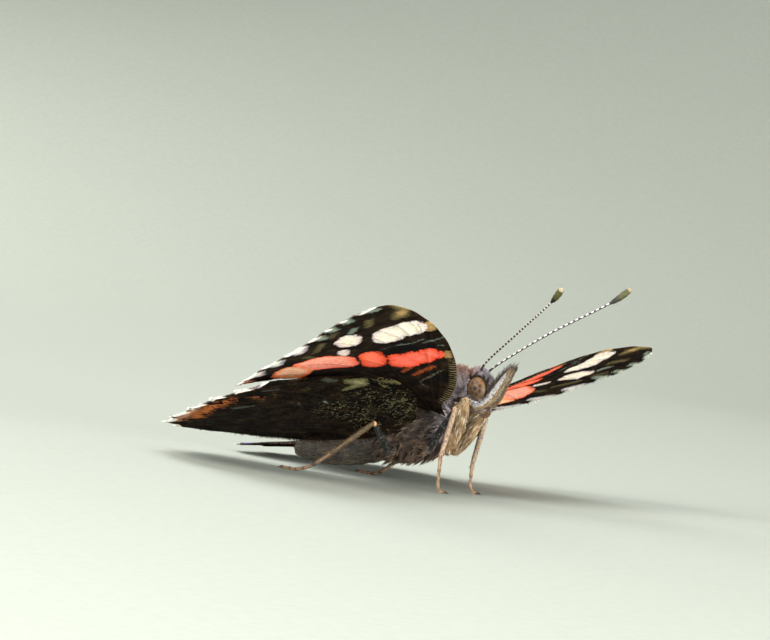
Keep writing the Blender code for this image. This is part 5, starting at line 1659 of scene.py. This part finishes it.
def leg_colours_group():
    """Scales of a leg: dark thigh with pale flecks, straw or olive shin with darker ones, banded feet."""
    group, inputs, outputs = new_group(
        "leg_colours", {"Part": "Float", "Place": "Vector"}, {"Colour": "Color", "Height": "Float"},
    )
    part = inputs["Part"]
    x = add_node(group, "ShaderNodeSeparateXYZ", {"Vector": inputs["Place"]}).outputs[0]
    hind = ramp(group, x, -2.6, -3.2)
    flakes = add_node(group, "ShaderNodeTexVoronoi", {"Vector": inputs["Place"], "Scale": 11})
    tint = add_node(group, "ShaderNodeSeparateColor", {"Color": flakes.outputs["Color"]}).outputs[0]
    thigh = mix_colours(group, ramp(group, tint, 0.88, 0.93), (14, 12, 11), (104, 112, 104))
    thigh = mix_colours(group, ramp(group, part, 0.12, 0.04), thigh, (74, 72, 64))
    straw = mix_colours(group, tint, (134, 114, 90), (172, 152, 124))
    olive = mix_colours(group, tint, (64, 54, 37), (102, 88, 61))
    shin = mix_colours(group, hind, straw, olive)
    flecked = mix_colours(group, hind, (112, 88, 92), (60, 48, 36))
    shin = mix_colours(group, ramp(group, tint, 0.72, 0.78), shin, flecked)
    foot = mix_colours(group, ramp(group, tint, 0.66, 0.74), (142, 118, 90), (88, 68, 55))
    foot = mix_colours(group, math_node(group, "MULTIPLY", hind, 0.45), foot, (48, 38, 28))
    joint = math_node(group, "FRACT", part)
    banded = product(group, ramp(group, joint, 0.66, 0.86), ramp(group, hind, 0.0, 1.0, 0.35, 0.85))
    foot = mix_colours(group, banded, foot, (38, 27, 21))
    knee = mix_colours(group, ramp(group, part, 0.90, 0.97), thigh, (190, 146, 102))
    colour = mix_colours(group, ramp(group, part, 0.985, 1.015), knee, shin)
    colour = mix_colours(group, ramp(group, part, 1.985, 2.015), colour, foot)
    group.links.new(colour, outputs["Colour"])
    group.links.new(math_node(group, "SUBTRACT", 1.0, flakes.outputs["Distance"]), outputs["Height"])
    return group


leg_colours = leg_colours_group()
leg_material, leg_shader = new_material("leg_scales", roughness=0.55, specular=0.3)
tree = leg_material.node_tree
leg_part, leg_place = attribute(tree, "leg_part"), attribute(tree, "place", "Vector")
leg_scales = use_group(tree, leg_colours, Part=leg_part, Place=leg_place)
tree.links.new(leg_scales["Colour"], leg_shader.inputs["Base Color"])
set_bump(tree, leg_shader, leg_scales["Height"], 0.025, strength=0.7)

claw_material, claw_shader = new_material("claw_horn", roughness=0.3, specular=0.5)
tree = claw_material.node_tree
patchy = noise_at(tree, attribute(tree, "place", "Vector"), 6, 2)
tree.links.new(mix_colours(tree, patchy, (16, 12, 10), (62, 38, 24)), claw_shader.inputs["Base Color"])


def spine_colour(tree, tint, along):
    return mix_colours(tree, tint, (58, 36, 24), (150, 96, 54))


spine_material, _ = hair_material("leg_spines", spine_colour, roughness=0.4)


def tapered(start, end, radii, first_part, last_part, steps=24):
    """Stations and part numbers of a straight limb."""
    share = np.linspace(0, 1, steps)
    radius = np.interp(share, np.linspace(0, 1, len(radii)), radii)
    places = start + (end - start) * share[:, None]
    return np.column_stack([places, radius, radius]), first_part + (last_part - first_part) * share


for leg_name, pose in WALKING_LEGS.items():
    side = pose["side"]
    mirror = np.array((1, side, 1))
    hip, knee, ankle = (np.array(pose[joint]) * mirror for joint in ("hip", "knee", "ankle"))
    foot_bends = [ankle, *(np.array(point) * mirror for point in pose["foot"])]
    foot_path, foot_run = even_path(foot_bends, 0.07)
    joint_ends = np.cumsum(FOOT_JOINTS) * foot_run[-1]
    joint = np.minimum(np.searchsorted(joint_ends, foot_run, side="right"), 4)
    joint_start = np.append(0, joint_ends)[joint]
    in_joint = np.clip((foot_run - joint_start) / (np.array(FOOT_JOINTS)[joint] * foot_run[-1]), 0, 1)
    radius = FOOT_RADIUS * (0.86 + 0.22 * in_joint ** 2 - 0.25 * (in_joint > 0.93))
    radius *= np.interp(foot_run / foot_run[-1], (0, 0.4, 1), (1.12, 1.0, 0.92))
    foot_path[:, 2] = np.maximum(foot_path[:, 2], FLOOR_Z + radius)
    low = foot_path[:, 2] < FLOOR_Z + 0.24
    foot_path[low, 2] = FLOOR_Z + radius[low]
    stations = [
        tapered(hip, knee, FEMUR_RADII, 0.0, 0.98), tapered(knee, ankle, TIBIA_RADII, 1.02, 1.98),
        (np.column_stack([foot_path, radius, radius]), 2 + joint + in_joint * 0.999),
    ]
    shells, parts = [], []
    for places, part in stations:
        shells.append(limb(places, LEG_SIDES, 1))
        parts.append(np.append(np.repeat(part, LEG_SIDES), (part[0], part[-1])))
    points, faces, spots = join_shells(shells)
    leg = new_piece(f"{leg_name}_leg", points, faces, [leg_material])
    store(leg, "leg_part", np.concatenate(parts))
    store(leg, "place", points)
    store_map(leg, spots)
    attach(leg, "root")
    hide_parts(*(f"{leg_name}_{part}" for part in ("femur", "tibia", "tarsus")))

    toward = unit(foot_path[-1] - foot_path[-6])
    across = unit(np.cross(toward, (0, 0, 1.0)))
    claws = []
    for hand in (-1, 1):
        root = foot_path[-1] + across * hand * 0.05 - toward * 0.1
        steps = ((0, 0, 0), (0.16, 0.07, 0.06), (0.30, 0.12, 0), (CLAW_LENGTH, 0.13, -0.11))
        bends = [root + toward * on + across * hand * out + (0, 0, up) for on, out, up in steps]
        claws.append(limb(np.column_stack([bends, CLAW_RADII, CLAW_RADII]), 8, 4))
    claw_points, claw_faces, claw_spots = join_shells(claws)
    claw_points[:, 2] = np.maximum(claw_points[:, 2], FLOOR_Z + 0.004)
    claw = new_piece(f"{leg_name}_claws", claw_points, claw_faces, [claw_material])
    store(claw, "place", claw_points)
    store_map(claw, claw_spots)
    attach(claw, "root")

    lines, ups, spots, widths = [], [], [], []

    def add_spine(root, reach, out, spot, width=SPINE_WIDTH):
        lines.append([root + reach * t for t in BLADE_SHARES])
        ups.append(out)
        spots.append(spot)
        widths.append(width)

    tibia_run = unit(ankle - knee)
    tibia_across = unit(np.cross(tibia_run, (0.3, side, 0.2)))
    tibia_up = np.cross(tibia_across, tibia_run)
    for k in range(SHIN_SPINES):
        share = 0.06 + 0.9 * k / SHIN_SPINES
        turned = k * SPINE_TURN + dice.normal(0, 0.2)
        out = tibia_across * math.cos(turned) + tibia_up * math.sin(turned)
        root = knee + (ankle - knee) * share + out * 0.2
        long = SPINE_LENGTH * dice.uniform(0.5, 0.9)
        add_spine(root, (tibia_run * 0.8 + out * 0.45) * long, out, (share, turned % math.tau / math.tau))
    for hand in (-1, 1):
        out = unit(tibia_across * hand * 0.5 + tibia_up * 0.2)
        root = ankle - tibia_run * 0.12 + out * 0.16
        reach = (tibia_run * 0.9 + out * 0.3) * SPUR_LENGTH
        add_spine(root, reach, out, (0.98, 0.25 + 0.25 * hand), SPUR_WIDTH)
    for k in range(6, len(foot_path) - 4, 3):
        ahead_way = unit(foot_path[k + 1] - foot_path[k])
        level_way = unit(np.cross(ahead_way, (0.1, 0.1, 1.0)))
        for hand in (-1, 1):
            out = unit(level_way * hand + np.array((0, 0, -0.15)))
            root = foot_path[k] + out * 0.12
            long = SPINE_LENGTH * dice.uniform(0.35, 0.6)
            reach = (ahead_way * 0.8 + out * 0.5) * long
            add_spine(root, reach, out, (k / len(foot_path), 0.5 + 0.4 * hand))
    lines = np.array(lines)
    lines[:, :, 2] = np.maximum(lines[:, :, 2], FLOOR_Z + 0.03)
    spines = new_coat(
        f"{leg_name}_spines", lines, np.array(ups), widths, SPINE_THICKNESS, np.array(spots, float),
        spine_material,
    )


# Fringe: a comb of long narrow scales round each wing's outer and inner edge, white between the veins and
# dark at their ends; on the inner edges it turns into fine grey-brown hair.
FRINGE_SPACING = 0.045
FRINGE_LENGTH = 0.45
FRINGE_WIDTH = 0.075
FRINGE_THICKNESS = 0.02
DARK_REACH = 0.62
DARK_FADE = 0.2


def fringe_colour(tree, tint, along):
    white = attribute(tree, "white")
    pale = mix_colours(tree, tint, (188, 184, 178), (226, 226, 218))
    dark = mix_colours(tree, tint, (36, 28, 22), (74, 60, 46))
    return mix_colours(tree, white, dark, pale)


fringe_material, _ = hair_material("fringe_scales", fringe_colour)
for name, (form, side, *_) in WING_POSES.items():
    plan = wing_plans[name.split("_")[0]]
    edge = np.vstack([plan["margin"][:-1], plan["inner"]])
    run = path_lengths(edge)
    margin_end = run[len(plan["margin"]) - 1]
    spots = np.arange(0.1, run[-1] - 1.2, FRINGE_SPACING)
    spots = spots + dice.normal(0, 0.01, len(spots))
    behind, base, ahead = (
        np.stack([np.interp(spots + step, run, edge[:, k]) for k in range(2)], 1) for step in (-0.2, 0, 0.2)
    )
    ahead_way = unit(ahead - behind)
    out = np.stack([-ahead_way[:, 1], ahead_way[:, 0]], 1)
    vein_ends = np.array([vein[-1] for vein in form["veins"]])
    from_vein = np.linalg.norm(base[:, None] - vein_ends[None], axis=2).min(1)
    on_margin = spots < margin_end
    white = np.clip((from_vein - DARK_REACH) / DARK_FADE, 0, 1) * on_margin
    length = FRINGE_LENGTH * dice.uniform(0.75, 1.1, len(spots)) * (0.8 + 0.35 * white)
    length = np.where(on_margin, length, length * 1.3)
    lean = ahead_way * dice.normal(0.0, 0.10, (len(spots), 1))
    flat_lines = [base - out * 0.1 + (out + lean) * (length * t)[:, None] for t in (0, 0.4, 0.75, 1.0)]
    lift = dice.normal(0, 0.02, len(spots))
    lines = np.stack([wing_place(name, flat, lift * k) for k, flat in enumerate(flat_lines)], 1)
    up = unit(wing_place(name, base, 1.0) - wing_place(name, base, 0.0))
    spots = np.stack([spots, dice.random(len(spots))], 1)
    comb = new_coat(
        f"{name}_fringe", lines, up, FRINGE_WIDTH, FRINGE_THICKNESS, spots, fringe_material, white=white,
    )


size = {"cad": [list(corner) for corner in cad_bounds], "visual": [list(corner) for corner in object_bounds()]}
